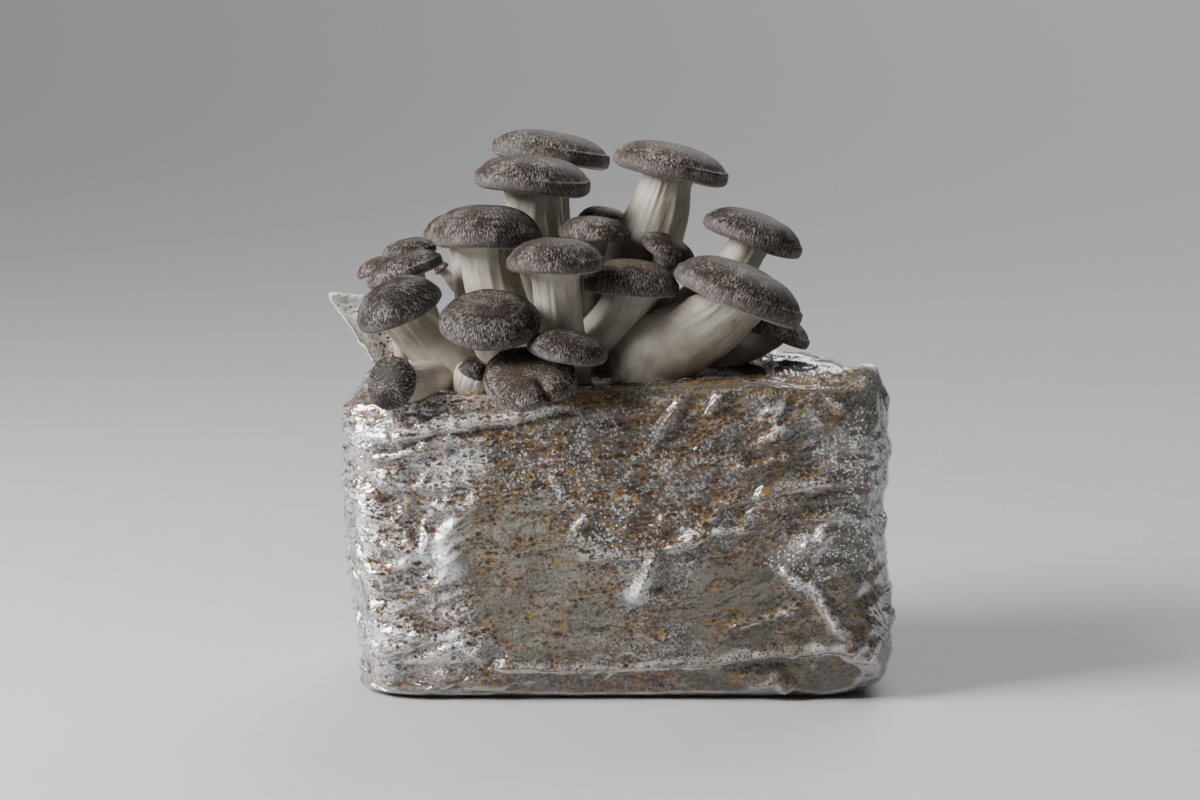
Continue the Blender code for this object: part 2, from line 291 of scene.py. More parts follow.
# How far round the opening, then how far the film's cut edge stands right of, behind and above it.
CUT_EDGE = np.array((
    (0.00, 0, 0, 0.7), (0.04, 2, 0, 0.9), (0.10, 4, 0, 1.2), (0.18, 5, 2, 0.9), (0.24, 4, 4, 1.4),
    (0.30, 2, 5, 6), (0.42, 0, 4, 7), (0.47, -3, 4, 18), (0.50, -8, 4, 28), (0.53, -22, 1, 31),
    (0.56, -17, -7, 26), (0.61, -8, -6, 14), (0.65, -6, -3, 9), (0.695, -3, -1, 7), (0.73, 0, 0, 3),
    (0.77, 0, 0, 0.7), (1.00, 0, 0, 0.7),
))
# Corners that are pinched out: centre, reach and pull.
PINCHES = (
    ((97, -20, 118), 12, (5, -1, 4)),
    ((-98, -34, 3), 12, (-2.5, -1, 0)),
    ((66, 34, 124), 13, (0, 0, 4)),
    ((86, 10, 120), 14, (0, 0, 3)),
    ((101, -40, 119), 7, (3, -1, 5)),
    ((-103, -46, 112), 8, (-1.5, -1, 2)),
)
# The ear of film at the top right corner in front.
EARS = (((96, -46, 118), 9, (1.5, -1, 10)), ((84, -44, 120), 13, (0, 0, 3)))
RUMPLE_SIZE = (44, 44, 21)

# Points round each corner of a ring, and along its right, back, left and front side: most in front.
ROUND_CORNER, ALONG_SIDES = 16, (48, 72, 48, 160)
AROUND = 4 * ROUND_CORNER + sum(ALONG_SIDES)
# How much of the way round a corner and each side take.
CORNER_PART, SIDE_PARTS = 0.045, (0.138, 0.272, 0.138, 0.272)


def top_height(x):
    rising = np.clip((x - SLOPE_START) / (SLOPE_END - SLOPE_START), 0, 1)
    falling = np.clip((x - SLOPE_END) / (FALL_END - SLOPE_END), 0, 1)
    return TOP_LEFT + TOP_RISE * rising - TOP_FALL * falling


def rounded_ring(left, right, front, back, radius):
    """A rounded rectangle from its front right corner round by the back, and the way out at each point."""
    corners = ((right - radius, front + radius), (right - radius, back - radius),
               (left + radius, back - radius), (left + radius, front + radius))
    places, outs = [], []
    for corner, middle in enumerate(corners):
        turn = np.radians(90 * (corner - 1) + 90 * np.arange(ROUND_CORNER + 1) / ROUND_CORNER)
        out = np.column_stack((np.cos(turn), np.sin(turn)))
        arc = np.array(middle) + out * radius
        share = np.arange(1, ALONG_SIDES[corner])[:, None] / ALONG_SIDES[corner]
        start_of_next = np.array(corners[(corner + 1) % 4]) + out[-1] * radius
        places += [arc, arc[-1] + (start_of_next - arc[-1]) * share]
        outs += [out, np.repeat(out[-1:], ALONG_SIDES[corner] - 1, axis=0)]
    return np.concatenate(places), np.concatenate(outs)


def pinch(ring, pinches=PINCHES):
    moved = ring.copy()
    for centre, reach, pull in pinches:
        near = np.linalg.norm(ring - centre, axis=1) / reach
        moved += np.array(pull) * np.exp(-near * near)[:, None]
    return moved


def side_ring(height, *section):
    flat, out = rounded_ring(*section)
    ring = np.column_stack((flat, height * top_height(flat[:, 0]) / TOP_LEFT))
    settling = min(height / 20, 1) * min((TOP_LEFT - height) / 8, 1)
    wander = np.array([noise.noise(place) for place in ring / RUMPLE_SIZE])
    ring[:, :2] += out * (2 * settling * wander)[:, None]
    return pinch(ring)


def top_ring(height, left, right, front, back, radius, lean=0.0):
    flat, _ = rounded_ring(left, right, front, back, radius)
    leftness = np.clip((flat[:, 0] - right) / (left - right), 0, 1) ** 3
    flat[:, 0] += lean * leftness * (back - flat[:, 1]) / (back - front)
    return np.column_stack((flat, height - TOP_LEFT + top_height(flat[:, 0])))


def way_round():
    """The share of the way round at each point of a ring."""
    shares, start_of = [], 0.0
    for points, part in zip(ALONG_SIDES, SIDE_PARTS):
        shares += [start_of + CORNER_PART * np.arange(ROUND_CORNER) / ROUND_CORNER,
                   start_of + CORNER_PART + part * np.arange(points) / points]
        start_of += CORNER_PART + part
    return np.concatenate(shares)


def cut_edge_ring(opening, rise, flare):
    around = way_round()
    row = np.clip(np.searchsorted(CUT_EDGE[:, 0], around) - 1, 0, len(CUT_EDGE) - 2)
    share = (around - CUT_EDGE[row, 0]) / (CUT_EDGE[row + 1, 0] - CUT_EDGE[row, 0])
    ease = (share * share * (3 - 2 * share))[:, None]
    off = CUT_EDGE[row, 1:] * (1 - ease) + CUT_EDGE[row + 1, 1:] * ease
    return opening + off * (flare, flare, rise)


opening_ring = top_ring(*OPENING, lean=LEFT_LEAN)
side_rings = [side_ring(*section) for section in SIDES]
shoulder_rings = [pinch(top_ring(*section)) for section in SHOULDERS]
print("points round the bag:", AROUND)

# %% [markdown]
# The sections are far apart. More rings go between them: along a smooth curve up the sides, and straight
# across the shoulders, which then get softened as film does over a block's edge. The way out at each
# point comes from the grid itself, as the cross product of its two directions.

# %% Rings between the sections
RINGS_UP_THE_SIDES = (2, 5, 6, 6, 11, 14, 16, 14, 10, 6, 4)
RINGS_OVER_THE_TOP = (2, 8, 9)
RINGS_UP_THE_EDGE = (5, 8)
SOFTENED = 12


def curved_between(rings, counts):
    """Rings on a smooth curve through the given ones (Catmull and Rom's)."""
    padded = [2 * rings[0] - rings[1], *rings, 2 * rings[-1] - rings[-2]]
    made = []
    for (a, b, c, d), count in zip(zip(padded, padded[1:], padded[2:], padded[3:]), counts):
        for t in np.arange(count) / count:
            made.append(0.5 * (2 * b + (c - a) * t + (2 * a - 5 * b + 4 * c - d) * t ** 2
                               + (3 * b - a - 3 * c + d) * t ** 3))
    return made


def straight_between(rings, counts):
    return [low + (high - low) * k / count
            for low, high, count in zip(rings, rings[1:], counts) for k in range(count)]


def soften(grid, first, rounds):
    for _ in range(rounds):
        grid[first:-1] = (grid[first - 1:-2] + 2 * grid[first:-1] + grid[first + 1:]) / 4
    return grid


def ways_out(grid):
    """The direction straight out of the grid at each of its points."""
    along = np.roll(grid, -1, axis=1) - np.roll(grid, 1, axis=1)
    out = np.cross(along, np.gradient(grid, axis=0))
    return out / np.maximum(np.linalg.norm(out, axis=2, keepdims=True), 1e-9)


sides = curved_between(side_rings, RINGS_UP_THE_SIDES)
over_top = straight_between([side_rings[-1], *shoulder_rings, opening_ring], RINGS_OVER_THE_TOP)
edge = straight_between([opening_ring, cut_edge_ring(opening_ring, 0.5, 0.3), cut_edge_ring(opening_ring, 1, 1)],
                        RINGS_UP_THE_EDGE)
skin = np.array(sides + over_top + edge + [cut_edge_ring(opening_ring, 1, 1)])
OPENING_ROW = len(sides) + len(over_top)
skin[:OPENING_ROW + 1] = soften(skin[:OPENING_ROW + 1], len(sides) - 3, SOFTENED)
skin = np.array([pinch(ring, EARS) for ring in skin])
skin_out = ways_out(skin)
print("rings:", len(skin), "with the opening at ring", OPENING_ROW)

# %% [markdown]
# ## Wrinkles in the film
#
# Film that has shrunk on a block buckles. Between smooth stretches it stands up in narrow ridges that run
# mostly level, dense at both ends and sparse in front, with a few long folds that were pulled in when the
# bag was filled. A ridge is where a noise crosses zero: one minus its size is sharp along that line and
# flat elsewhere. Stretching the noise sideways makes the ridges long, bending it makes them wander, and a
# second, finer set runs between them. The long folds of the front are drawn one by one.

# %% The wrinkles
# The folds of the front: half their width, their height (below zero for a groove), and points (x, z).
FOLDS = (
    (1.1, -1.7, ((-96, 102), (-88, 99.5), (-80, 102), (-68, 105), (-55, 106.5), (-38, 108.5), (-16, 115))),
    (2.0, 1.1, ((-96, 105), (-88, 103.5), (-80, 106), (-68, 109), (-55, 110.5), (-38, 112), (-18, 118))),
    (0.9, -0.7, ((-90, 112.6), (-73, 113), (-55, 114.4), (-38, 115.4))),
    (1.2, 2.0, ((10.5, 97), (13, 102), (18, 110), (22, 115), (25.4, 120))),
    (2.2, 2.2, ((5, 40), (9, 47), (12.5, 55), (15.5, 62))),
    (1.4, 1.5, ((15.5, 62), (19, 60.5), (28, 64), (38, 67.5), (52, 69))),
    (1.3, 1.2, ((15.5, 62), (9, 59), (-1, 57.5), (-14, 58), (-24, 60))),
    (1.9, 2.0, ((61, 53.6), (69, 48), (76.4, 44), (80, 37), (84, 29.8), (90, 25), (96.5, 22))),
    (1.5, 1.7, ((-84, 15.8), (-75, 18.5), (-66, 22), (-60, 23.5), (-54, 18), (-50, 14.5))),
    (1.3, 1.5, ((-50, 14.5), (-25, 13.2), (0, 13.6), (34, 17), (59, 19.4), (81, 22), (95.4, 21.5))),
    (1.5, 1.4, ((-96, 31.5), (-86, 28), (-75, 26.5), (-66, 26))),
    (1.5, 1.5, ((-99, 38), (-90, 35.5), (-80, 31.5), (-72, 30))),
    (1.3, 1.2, ((-99, 50), (-91, 51), (-84, 48), (-76, 44.5))),
    (1.6, 1.3, ((-97, 71), (-92, 66), (-84, 61.5), (-72, 58), (-58, 57))),
    (1.4, 1.4, ((-90, 84.5), (-80, 85), (-70, 84.5), (-62, 86))),
    (1.5, 1.2, ((-76, 80), (-67, 77), (-58, 77.5), (-46, 80))),
    (1.4, 1.3, ((40, 92), (52, 93), (62, 96), (74, 99.5))),
    (1.5, 1.5, ((36, 78), (50, 80.5), (62, 84), (74, 86.5), (82, 87))),
    (1.2, 1.5, ((68, 71), (76, 73.5), (84, 74))),
    (1.3, 1.2, ((41, 29), (52, 33), (64, 36), (72, 38))),
    (1.2, 1.1, ((64, 61), (72, 62.5), (80, 66), (88, 70))),
    (1.4, 1.5, ((-8, 76), (-14, 71), (-19, 66))),
    (1.2, 1.3, ((-24, 73), (-29, 69))),
    (4.0, -0.5, ((-88, 7), (-50, 7), (0, 7), (34, 9), (59, 11), (74, 13))),
)


# The folds of the film heaped on the right end, with points (x, y).
FOLDS_ON_TOP = (
    (1.4, 3.8, ((64, -45), (74, -49), (84, -50), (94, -46))),
    (1.2, 3.0, ((60, -30), (68, -38), (80, -44), (92, -38))),
    (1.2, 2.8, ((60, -22), (74, -29), (90, -24))),
    (1.1, 2.6, ((72, -46), (78, -34), (80, -20), (76, -6))),
    (1.4, 2.6, ((60, -10), (78, -14), (94, -9))),
    (1.6, 2.4, ((60, 4), (76, 2), (92, 6))),
    (3.4, 3.0, ((56, 20), (66, 16), (74, 17), (80, 20))),
)


WRINKLE_SEED = 3


def rise(value, low, high):
    """0 up to low, 1 from high, smooth between, also for arrays."""
    share = np.clip((value - low) / (high - low), 0, 1)
    return share * share * (3 - 2 * share)


def fold_heights(folds, across, along):
    """What drawn folds add at each place. Each fold fades out over its last stretch."""
    total = np.zeros_like(across)
    for half_width, height, points in folds:
        ends = np.array(points, float)
        lengths = np.linalg.norm(np.diff(ends, axis=0), axis=1)
        start_of = np.concatenate(([0], np.cumsum(lengths)))
        nearest, gone = np.full_like(across, 1e9), np.zeros_like(across)
        for a, b, length, before in zip(ends, ends[1:], lengths, start_of):
            way = (b - a) / length
            ahead = np.clip((across - a[0]) * way[0] + (along - a[1]) * way[1], 0, length)
            away = np.hypot(across - a[0] - way[0] * ahead, along - a[1] - way[1] * ahead)
            closer = away < nearest
            nearest, gone = np.where(closer, away, nearest), np.where(closer, before + ahead, gone)
        fade = rise(gone, -1, 7) * rise(start_of[-1] - gone, -1, 7)
        total += height * fade * np.exp(-(nearest / half_width) ** 2)
    return total


def crumpled(place, seed):
    """Ridges at one place, from 0 to about 2: long ones, finer ones between them, and soft bulges."""
    bend = noise.noise_vector(place / 26 + Vector((seed, 0, 0)))
    long_way = Vector((place.x / 30, place.y / 30, place.z / 9)) + bend * 0.9
    fine_way = Vector((place.x / 14, place.y / 14, place.z / 5.2)) + bend * 1.4
    comes_and_goes = min(max(0.6 + 1.6 * noise.noise(place / 19 + Vector((0, seed, 3))), 0), 1.3)
    long_ridge = max(1 - 3.2 * abs(noise.noise(long_way + Vector((seed, seed, 0)))), 0)
    fine_ridge = max(1 - 3.0 * abs(noise.noise(fine_way + Vector((0, seed, seed)))), 0)
    bulges = noise.noise(Vector((place.x / 16, place.y / 16, place.z / 11)) + Vector((seed, 7, 0)))
    return 1.15 * comes_and_goes * long_ridge ** 1.5 + 0.55 * fine_ridge ** 1.5 + 0.9 * bulges


# The vector noise starts from the clock unless it is given a seed.
noise.seed_set(WRINKLE_SEED)
x, y, z = skin[..., 0], skin[..., 1], skin[..., 2]
facing_front = rise(-skin_out[..., 1], 0.45, 0.85)
facing_up = rise(skin_out[..., 2], 0.4, 0.8)
ring_number = np.arange(len(skin))[:, None]
on_edge = rise(ring_number, OPENING_ROW, OPENING_ROW + 4)



drift = 11 * np.array([[noise.noise_vector(Vector(place) / 17) for place in ring] for ring in skin])


def patch(middle_x, middle_z, reach_x, reach_z):
    """1 in the middle of a soft ragged patch of the front, 0 outside it."""
    away = np.hypot((x + drift[..., 0] - middle_x) / reach_x, (z + drift[..., 2] - middle_z) / reach_z)
    return rise(1.25 - away, 0, 0.6) * facing_front


# Low in front the film lies smooth. Elsewhere it is crumpled, most at the ends.
calm = np.clip(patch(-40, 60, 22, 26) + patch(-28, 38, 26, 18) + patch(44, 50, 20, 12) + patch(34, 32, 24, 8)
               + patch(62, 86, 9, 5) + 0.6 * patch(-5, 30, 24, 12), 0, 1)
at_left, at_right = rise(-x + drift[..., 0], 32, 90), rise(x, 30, 80)
front_share = (0.62 + 0.75 * at_left + 0.45 * at_right) * (1 - 0.65 * calm * (1 - 0.6 * at_left))
heap = rise(x, 52, 66) * facing_up
share_of_crumple = facing_front * front_share + (1 - facing_front) * 0.62
share_of_crumple = share_of_crumple * (1 - facing_up) + facing_up * (0.35 - 0.05 * heap)
share_of_crumple *= rise(z, 0.5, 7) * (1 - 0.35 * on_edge)
bare_rim = facing_up * rise(-y, 40, 50) * rise(60 - x, 0, 12)
share_of_crumple *= 1 - 0.7 * bare_rim

# The ridges lean: up to the right at the right end, down to the right at the lower left.
lean = (-0.22 * rise(x, -10, 70) * (x + 10) * rise(z, -20, 90)
        + 0.24 * rise(-x, 20, 80) * rise(95 - z, 0, 80) * (-x - 20)) * facing_front
leaning = np.dstack((x, y, z + lean))
ridges = np.array([[crumpled(Vector(place), 11.3) for place in ring] for ring in leaning])
height = (ridges - 0.5) * share_of_crumple * 2.2
height += fold_heights(FOLDS, x, z) * 1.8 * facing_front * (1 - on_edge)
height += fold_heights(FOLDS_ON_TOP, x, y) * facing_up * (1 - on_edge)
film = skin + skin_out * height[..., None]
film[..., 2] = np.maximum(film[..., 2], 0.05)
print("the film stands", round(float(height.min()), 1), "to", round(float(height.max()), 1), "mm off its mean")

# %% [markdown]
# ## From a table of places to a mesh
#
# Blender makes the grid, and each of its points then takes its place from the table. The last column
# lands on the first, where the tube of film closes, and merging the doubles welds that seam. The base is
# one flat face. What a finish has to know about each point, such as how high it stands on a wrinkle, is
# stored on the mesh beside it and read back by name in the material.

# %% A mesh from rings
def rolled(name, grid, facts, lid=False, second_from=None):
    """A tube of rings with its base closed, and its top too for a block.

    The faces above the ring second_from get the second finish.
    """
    rows, columns = grid.shape[:2]
    shape = bmesh.new()
    bmesh.ops.create_grid(shape, x_segments=columns, y_segments=rows - 1, size=1)
    layers = {fact: shape.verts.layers.float_vector.new(fact) for fact in facts}
    if second_from is not None:
        divide = 2 * second_from / (rows - 1) - 1
        for face in shape.faces:
            face.material_index = int(face.calc_center_median().y > divide)
    for vert in shape.verts:
        column = round((vert.co.x + 1) / 2 * columns) % columns
        row = round((vert.co.y + 1) / 2 * (rows - 1))
        for fact, layer in layers.items():
            vert[layer] = facts[fact][row, column]
        vert.co = grid[row, column] * MM
    bmesh.ops.remove_doubles(shape, verts=shape.verts, dist=0.001 * MM)
    open_edges = [edge for edge in shape.edges if edge.is_boundary]
    base = [edge for edge in open_edges if edge.verts[0].co.z < 2 * MM]
    bmesh.ops.contextual_create(shape, geom=base)
    if lid:
        bmesh.ops.contextual_create(shape, geom=[edge for edge in open_edges if edge.is_boundary])
    bmesh.ops.recalc_face_normals(shape, faces=shape.faces)
    mesh = bpy.data.meshes.new(name)
    shape.to_mesh(mesh)
    shape.free()
    mesh.shade_smooth()
    return mesh


def placed(name, mesh, finish, slot, *nodes):
    """Puts a finished mesh in the scene for the solids that it stands for."""
    mesh.materials.append(finish)
    piece = bpy.data.objects.new(name, mesh)
    bpy.context.scene.collection.objects.link(piece)
    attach(piece, "root")
    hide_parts(*nodes)
    return piece


print("meshes can be rolled")

# %% [markdown]
# ## What each place of the bag looks like
#
# The growth isn't the same all over. Low in front of the middle the film lies smooth on a grey patch, and
# there are clear, wet-looking windows to the right. At the left end and along the top the growth is
# thick and white. Brown liquid has dried in the grooves and along the top edge, and the grooves also
# get painted shade. These soft patches are worked out once here, for the film and for the block together.

# %% Patches of the growth
# The heaped film at the back of the right end is whiter: partly its own pale film, partly painted light where the caps
# shade it.
white = np.clip(1.0 * at_left * facing_front + 0.10 * facing_front * at_right + (0.5 - 0.25 * heap + 0.4 * at_left) * (1 - facing_front)
                + 0.6 * heap * rise(y, 0, 10) + 0.35 * patch(15, 108, 26, 9)
                + 0.4 * patch(-70, 88, 24, 16) - 0.4 * calm - 0.45 * patch(5, 86, 55, 24), 0, 1)
busy = (np.clip(patch(8, 88, 62, 26) + 0.7 * patch(60, 76, 36, 24), 0, 1) + 1.2 * patch(2, 68, 18, 8)
        + 0.5 * patch(-88, 60, 12, 40) + 0.5 * patch(-62, 80, 12, 6))
stained = np.clip(rise(z + lean * 0.3, 107, 119) * (1 - rise(on_edge, 0, 0.5)) * 0.75
                  + 0.4 * patch(30, 106, 42, 9), 0, 1)
wet = np.clip(1.2 * patch(98, 88, 18, 40) + 0.45 * heap + patch(76, 58, 22, 10), 0, 1)
fold = np.clip(height / 1.8, -1, 1)
growth = {"growth": np.dstack((fold, calm, white)), "stain": np.dstack((stained, busy, wet)),
          "ground": leaning}
print("calm share of the front:", round(float(calm[facing_front > 0.5].mean()), 2))

# %% [markdown]
# ## The film
#
# The film itself is almost invisible: what is seen is the light it throws back. So its finish is a clear
# layer that mirrors a little when looked at straight on and a lot at a glancing angle, which is one
# shader with a low Alpha that Layer Weight raises. Film crumples on a scale far below the grid's, so a
# sharp noise gives it the last fine creases as a bump. They are stretched along the ridges: the place
# that the noise is read at was stored on the mesh, and it leans as the ridges do.

# %% Clear film
def wrinkle_ground(start):
    """Where the small wrinkles are read: the leaning place, bent by a slow noise."""
    ground = start.node("Attribute", {"attribute_name": "ground"}, {}, 1)
    return ground.node("VectorMath", {"operation": "MULTIPLY_ADD"}, {0: ground.grain(0.09, 2, out=1), 1: (16, 16, 9), 2: ground})


def small_wrinkles(bent):
    """Sharp level ridges a few millimetres apart, and finer ones between them."""
    coarse = bent.moved("MULTIPLY", (0.045, 0.045, 0.13)).grain(1.0, 2, 0.5)
    fine = bent.moved("MULTIPLY", (0.16, 0.16, 0.45)).grain(1.0, 1, 0.5)
    return 1 - (coarse - 0.5).size() * 4.5 - (fine - 0.5).size() * 0.9


film_finish, film_shader, start = blank_finish("bag_film")
stain_here = start.node("Attribute", {"attribute_name": "stain"}, {}, 1)
bent = wrinkle_ground(start)
creases = small_wrinkles(bent)
wet_here = stain_here.part(2)
drops = (1 - bent.cells(0.9)[0].step(0.15, 0.5)) * wet_here
loose = start.node("Attribute", {"attribute_name": "growth"}, {}, 1).part(2)
on_top = millimetres(start).part(2).step(116, 121)
edge_on = start.node("LayerWeight", {}, {"Blend": 0.28}, 0)
plug(film_shader, base_color=(0.9, 0.9, 0.9, 1), metallic=1.0, roughness=0.17,
     alpha=(edge_on * 0.36 + loose * 0.14 + wet_here * 0.09 + 0.055).at_most(0.6),
     normal=relief(creases * (loose * 0.8 + 1 - on_top * 0.6) + drops * 1.2, 0.9, 0.75))
print("clear film:", len(film_finish.node_tree.nodes), "nodes")

# %% [markdown]
# The loose cut edge is another matter. Mycelium has grown up it, so it is white and dull, with crumbs
# along it and clear patches between. It is the same sheet, and its faces carry a second finish.

# %% Grown-over film
edge_finish, edge_shader, start = blank_finish("bag_film_grown")
place = millimetres(start)
veil = (place.grain(0.12, 3) + 0.16).step(0.42, 0.58) * (place.part(1) + 50).step(0, 8) * (52 - place.part(0)).step(0, 10)
crumbs = (place.moved("MULTIPLY", (0.42, 0.42, 0.60)).grain(1.0, 4, 0.65, 0.5)
          - (place.part(2) - 118).step(0, 25) * 0.03).step(0.52, 0.57)
edge_on = start.node("LayerWeight", {}, {"Blend": 0.3}, 0)
plug(edge_shader, base_color=shade(crumbs, (0.80, 0.80, 0.78), (0.16, 0.068, 0.0)),
     metallic=1 - (veil + crumbs).at_most(1), roughness=veil * 0.25 + 0.2,
     alpha=(edge_on * 0.5 + veil * 0.80 + crumbs * 0.9 + 0.14).at_most(0.98),
     normal=relief(place.moved("MULTIPLY", (0.3, 0.3, 0.5)).grain(1.0, 3), 1.2, 0.7))
print("grown-over film:", len(edge_finish.node_tree.nodes), "nodes")

# %% Film
FILM_THICKNESS = 0.22

film_mesh = rolled("grow_bag_film", film, growth, second_from=OPENING_ROW)
grow_bag = placed("grow_bag_film", film_mesh, film_finish, "bag_film", "grow_bag")
inside_finish, inside_shader, start = blank_finish("bag_film_inside")
plug(inside_shader, base_color=(0.9, 0.9, 0.9, 1), roughness=0.2, alpha=0.03)
for finish in (edge_finish, inside_finish, edge_finish):
    film_mesh.materials.append(finish)
wall = grow_bag.modifiers.new("thickness", "SOLIDIFY")
wall.thickness = FILM_THICKNESS * MM
wall.offset = -1
wall.material_offset = 2
grow_bag.visible_shadow = grow_bag.visible_diffuse = False
print("film:", len(film_mesh.polygons), "faces on one side")

# %% [markdown]
# ## The block inside
#
# The block follows its film, because the mycelium has grown into every wrinkle and pressed against it. So
# the same table of places serves again, drawn in by a fraction of a millimetre, and closed over the top
# with rings that shrink towards the middle, where the film was cut away and the growth is bare and lumpy.

# %% Block
BEHIND_FILM = 0.5
RINGS_TO_THE_MIDDLE = (12, 6)
BARE_LUMPS = 1.1

middle_rings = [top_ring(*section) for section in BLOCK_TOP]
bare_top = np.array(straight_between([opening_ring, *middle_rings], RINGS_TO_THE_MIDDLE)[1:] + [middle_rings[-1]])
lumpy = np.array([[noise.fractal(Vector(p) / 7, 0.8, 2.0, 3) for p in ring] for ring in bare_top])
bare_top[..., 2] += BARE_LUMPS * lumpy - 0.4
inside = film[:OPENING_ROW + 1] - skin_out[:OPENING_ROW + 1] * BEHIND_FILM
inside[..., 2] = np.maximum(inside[..., 2], 0.6)
inside[-1, :, 2] -= 0.5
block_places = np.concatenate((inside, bare_top))


def with_bare_top(fact, on_top):
    """A fact of the sides, with one value for all of the bare top."""
    top = np.broadcast_to(np.array(on_top, float), bare_top.shape)
    return np.concatenate((fact[:OPENING_ROW + 1], top))


block_growth = {"growth": with_bare_top(growth["growth"], (0, 0, 0.4)),
                "stain": with_bare_top(growth["stain"], (0.6, 0.8, 0)),
                "ground": with_bare_top(growth["ground"], bare_top)}

# %% [markdown]
# Its colours are layered as they grew. Sawdust comes first, grey-brown. White mycelium clouds it, thick at
# the ends and thin in front, where it breaks up into a fine web of threads over dark pits. Then come
# crumbs of bark and bran, from dark brown to amber, in three sizes, crowded in some places and pressed
# into lines along the grooves. Scattered cells give the crumbs: each cell's own random colour decides
# whether it holds one, and a fine noise that bends the ground makes their outlines ragged. Painted light
# and shade go in among them: the ridges are painted whiter, the grooves, hollows and valleys darker, the
# right end darker where the light falls off, and the wet patches get painted glints.

# %% Block finish
block_finish, block_shader, start = blank_finish("mycelium")
growth_here = start.node("Attribute", {"attribute_name": "growth"}, {}, 1)
stain_here = start.node("Attribute", {"attribute_name": "stain"}, {}, 1)
ground = start.node("Attribute", {"attribute_name": "ground"}, {}, 1)
fold_here, calm_here, white_here = (growth_here.part(axis) for axis in range(3))
stained_here, busy_here, wet_here = (stain_here.part(axis) for axis in range(3))

bent = wrinkle_ground(start)
creases = small_wrinkles(bent)
place = millimetres(start)
clouds = ground.moved("MULTIPLY", (0.045, 0.045, 0.08)).grain(1.0, 4, 0.6, 0.6)
web = (1 - (place.grain(0.85, 2, 0.6) - 0.5).size() * 8).at_most(1)
pepper = place.moved("ADD", (40, 0, 0)).grain(1.15, 2, 0.65)
# crest is 1 on the ridges of the wrinkles; through cover and whiteness below it paints them whiter, a painted
# highlight.
crest = (fold_here - 0.05).step(0, 0.85) * (clouds * 1.2 + 0.3).at_most(1)
valley = (fold_here + 0.75).step(0, 0.75)
valley_up = place.part(2).step(112, 118)
cover = (clouds * 1.9 + white_here * 0.38 + crest * 0.30 - 0.40
         - calm_here * 0.10 - stained_here * 0.12 - busy_here * 0.20)
smooth_here = ((place.part(0) - 15).step(0, 45) * (1 - place.part(2).step(35, 75)) + wet_here).at_most(1)
thick = (cover + ((web - 0.45) * 0.42 + (pepper - 0.5) * (busy_here + 1) * 1.4)
         * (1 - calm_here * 0.5) * (1 - smooth_here * 0.6)).step(0.30, 0.78)

sawdust = shade(clouds.step(0.4, 0.6), (0.050, 0.039, 0.024), (0.108, 0.093, 0.066))
whiteness = white_here * 0.85 + (clouds - 0.5) * 1.6 + crest * 0.42
pale = shade(whiteness.step(0, 1), (0.25, 0.232, 0.190), (0.95, 0.95, 0.94))
colour = sawdust.tint(thick, pale)
calm_colour = shade((web * 0.7 + clouds * 0.7).step(0.25, 1.0), (0.040, 0.034, 0.019), (0.175, 0.155, 0.100))
colour = colour.tint(calm_here * 0.85, calm_colour)
# Painted shade: the grooves of the small wrinkles are darkened grey-brown.
groove = (1 - creases).step(0.25, 1.0) * (1 - calm_here * 0.6)
colour = colour.tint(groove * 0.30, (0.10, 0.090, 0.076, 1))
# Painted shade: blue-grey in the hollows between the white ridges.
hollow_shade = (0.10 - fold_here).step(0, 0.6) * white_here
colour = colour.tint(hollow_shade * 0.70, (0.215, 0.228, 0.25, 1))
# Painted shade: the deep valleys of the film's wrinkles are darkened.
colour = colour.tint((1 - valley) * 0.5, (0.082, 0.076, 0.066, 1))

bending = place.grain(0.9, 2, out=1)
ragged, bitty = (place.node("VectorMath", {"operation": "MULTIPLY_ADD"}, {0: bending, 1: far, 2: place})
                 for far in ((1.1, 1.1, 0.9), (0.4, 0.4, 0.4)))
gather = ground.moved("MULTIPLY", (0.05, 0.05, 0.09)).grain(1.0, 3, 0.6)
crowd = (gather - 0.5) * 4.8 + white_here * 0.38 + stained_here * 0.5 + busy_here * 0.24 - fold_here * 0.22 + groove * 0.25 + 0.30


def crumbs(scale, reach, share, low, high, over):
    """Crumbs from scattered cells, over a colour: amber at the rim of each and darker within."""
    away, own = ragged.moved("MULTIPLY", (0.85, 0.85, 1.15)).cells(scale)
    holds = (crowd * share - own.part(0)).step(-0.03, 0.03)
    inside = own.part(1) * reach * 0.7 + reach * 0.5 - away
    body = shade((inside + own.part(2) * 0.3 - 0.15).step(0, 0.15), low, high)
    return over.tint(holds * inside.step(-0.04, 0.05), body)


bits = bitty.cells(1.35)[1]
pick, hue, light = (bits.part(axis) for axis in range(3))
speckled = (busy_here * 0.35 + 0.55) * (1 - calm_here * 0.75) * (1 - smooth_here * 0.6)
colour = colour.tint((light - 0.5).step(0, 0.4) * speckled * 0.65, (0.80, 0.81, 0.83, 1))
# Painted shade: the block is darker towards the right end, where the lamp's light falls off, and less so on the
# ridges.
right_end_shade = place.part(0).step(-30, 70) * (1 - crest * 0.6)
colour = colour.tint(smooth_here * (1 - crest) * 0.45, (0.135, 0.108, 0.056, 1))
colour = colour.tint(right_end_shade * ((place.part(2) - 70).step(0, 40) * 0.20 + 0.38) * (1 - valley_up * 0.4),
                     (0.026, 0.016, 0.004, 1))
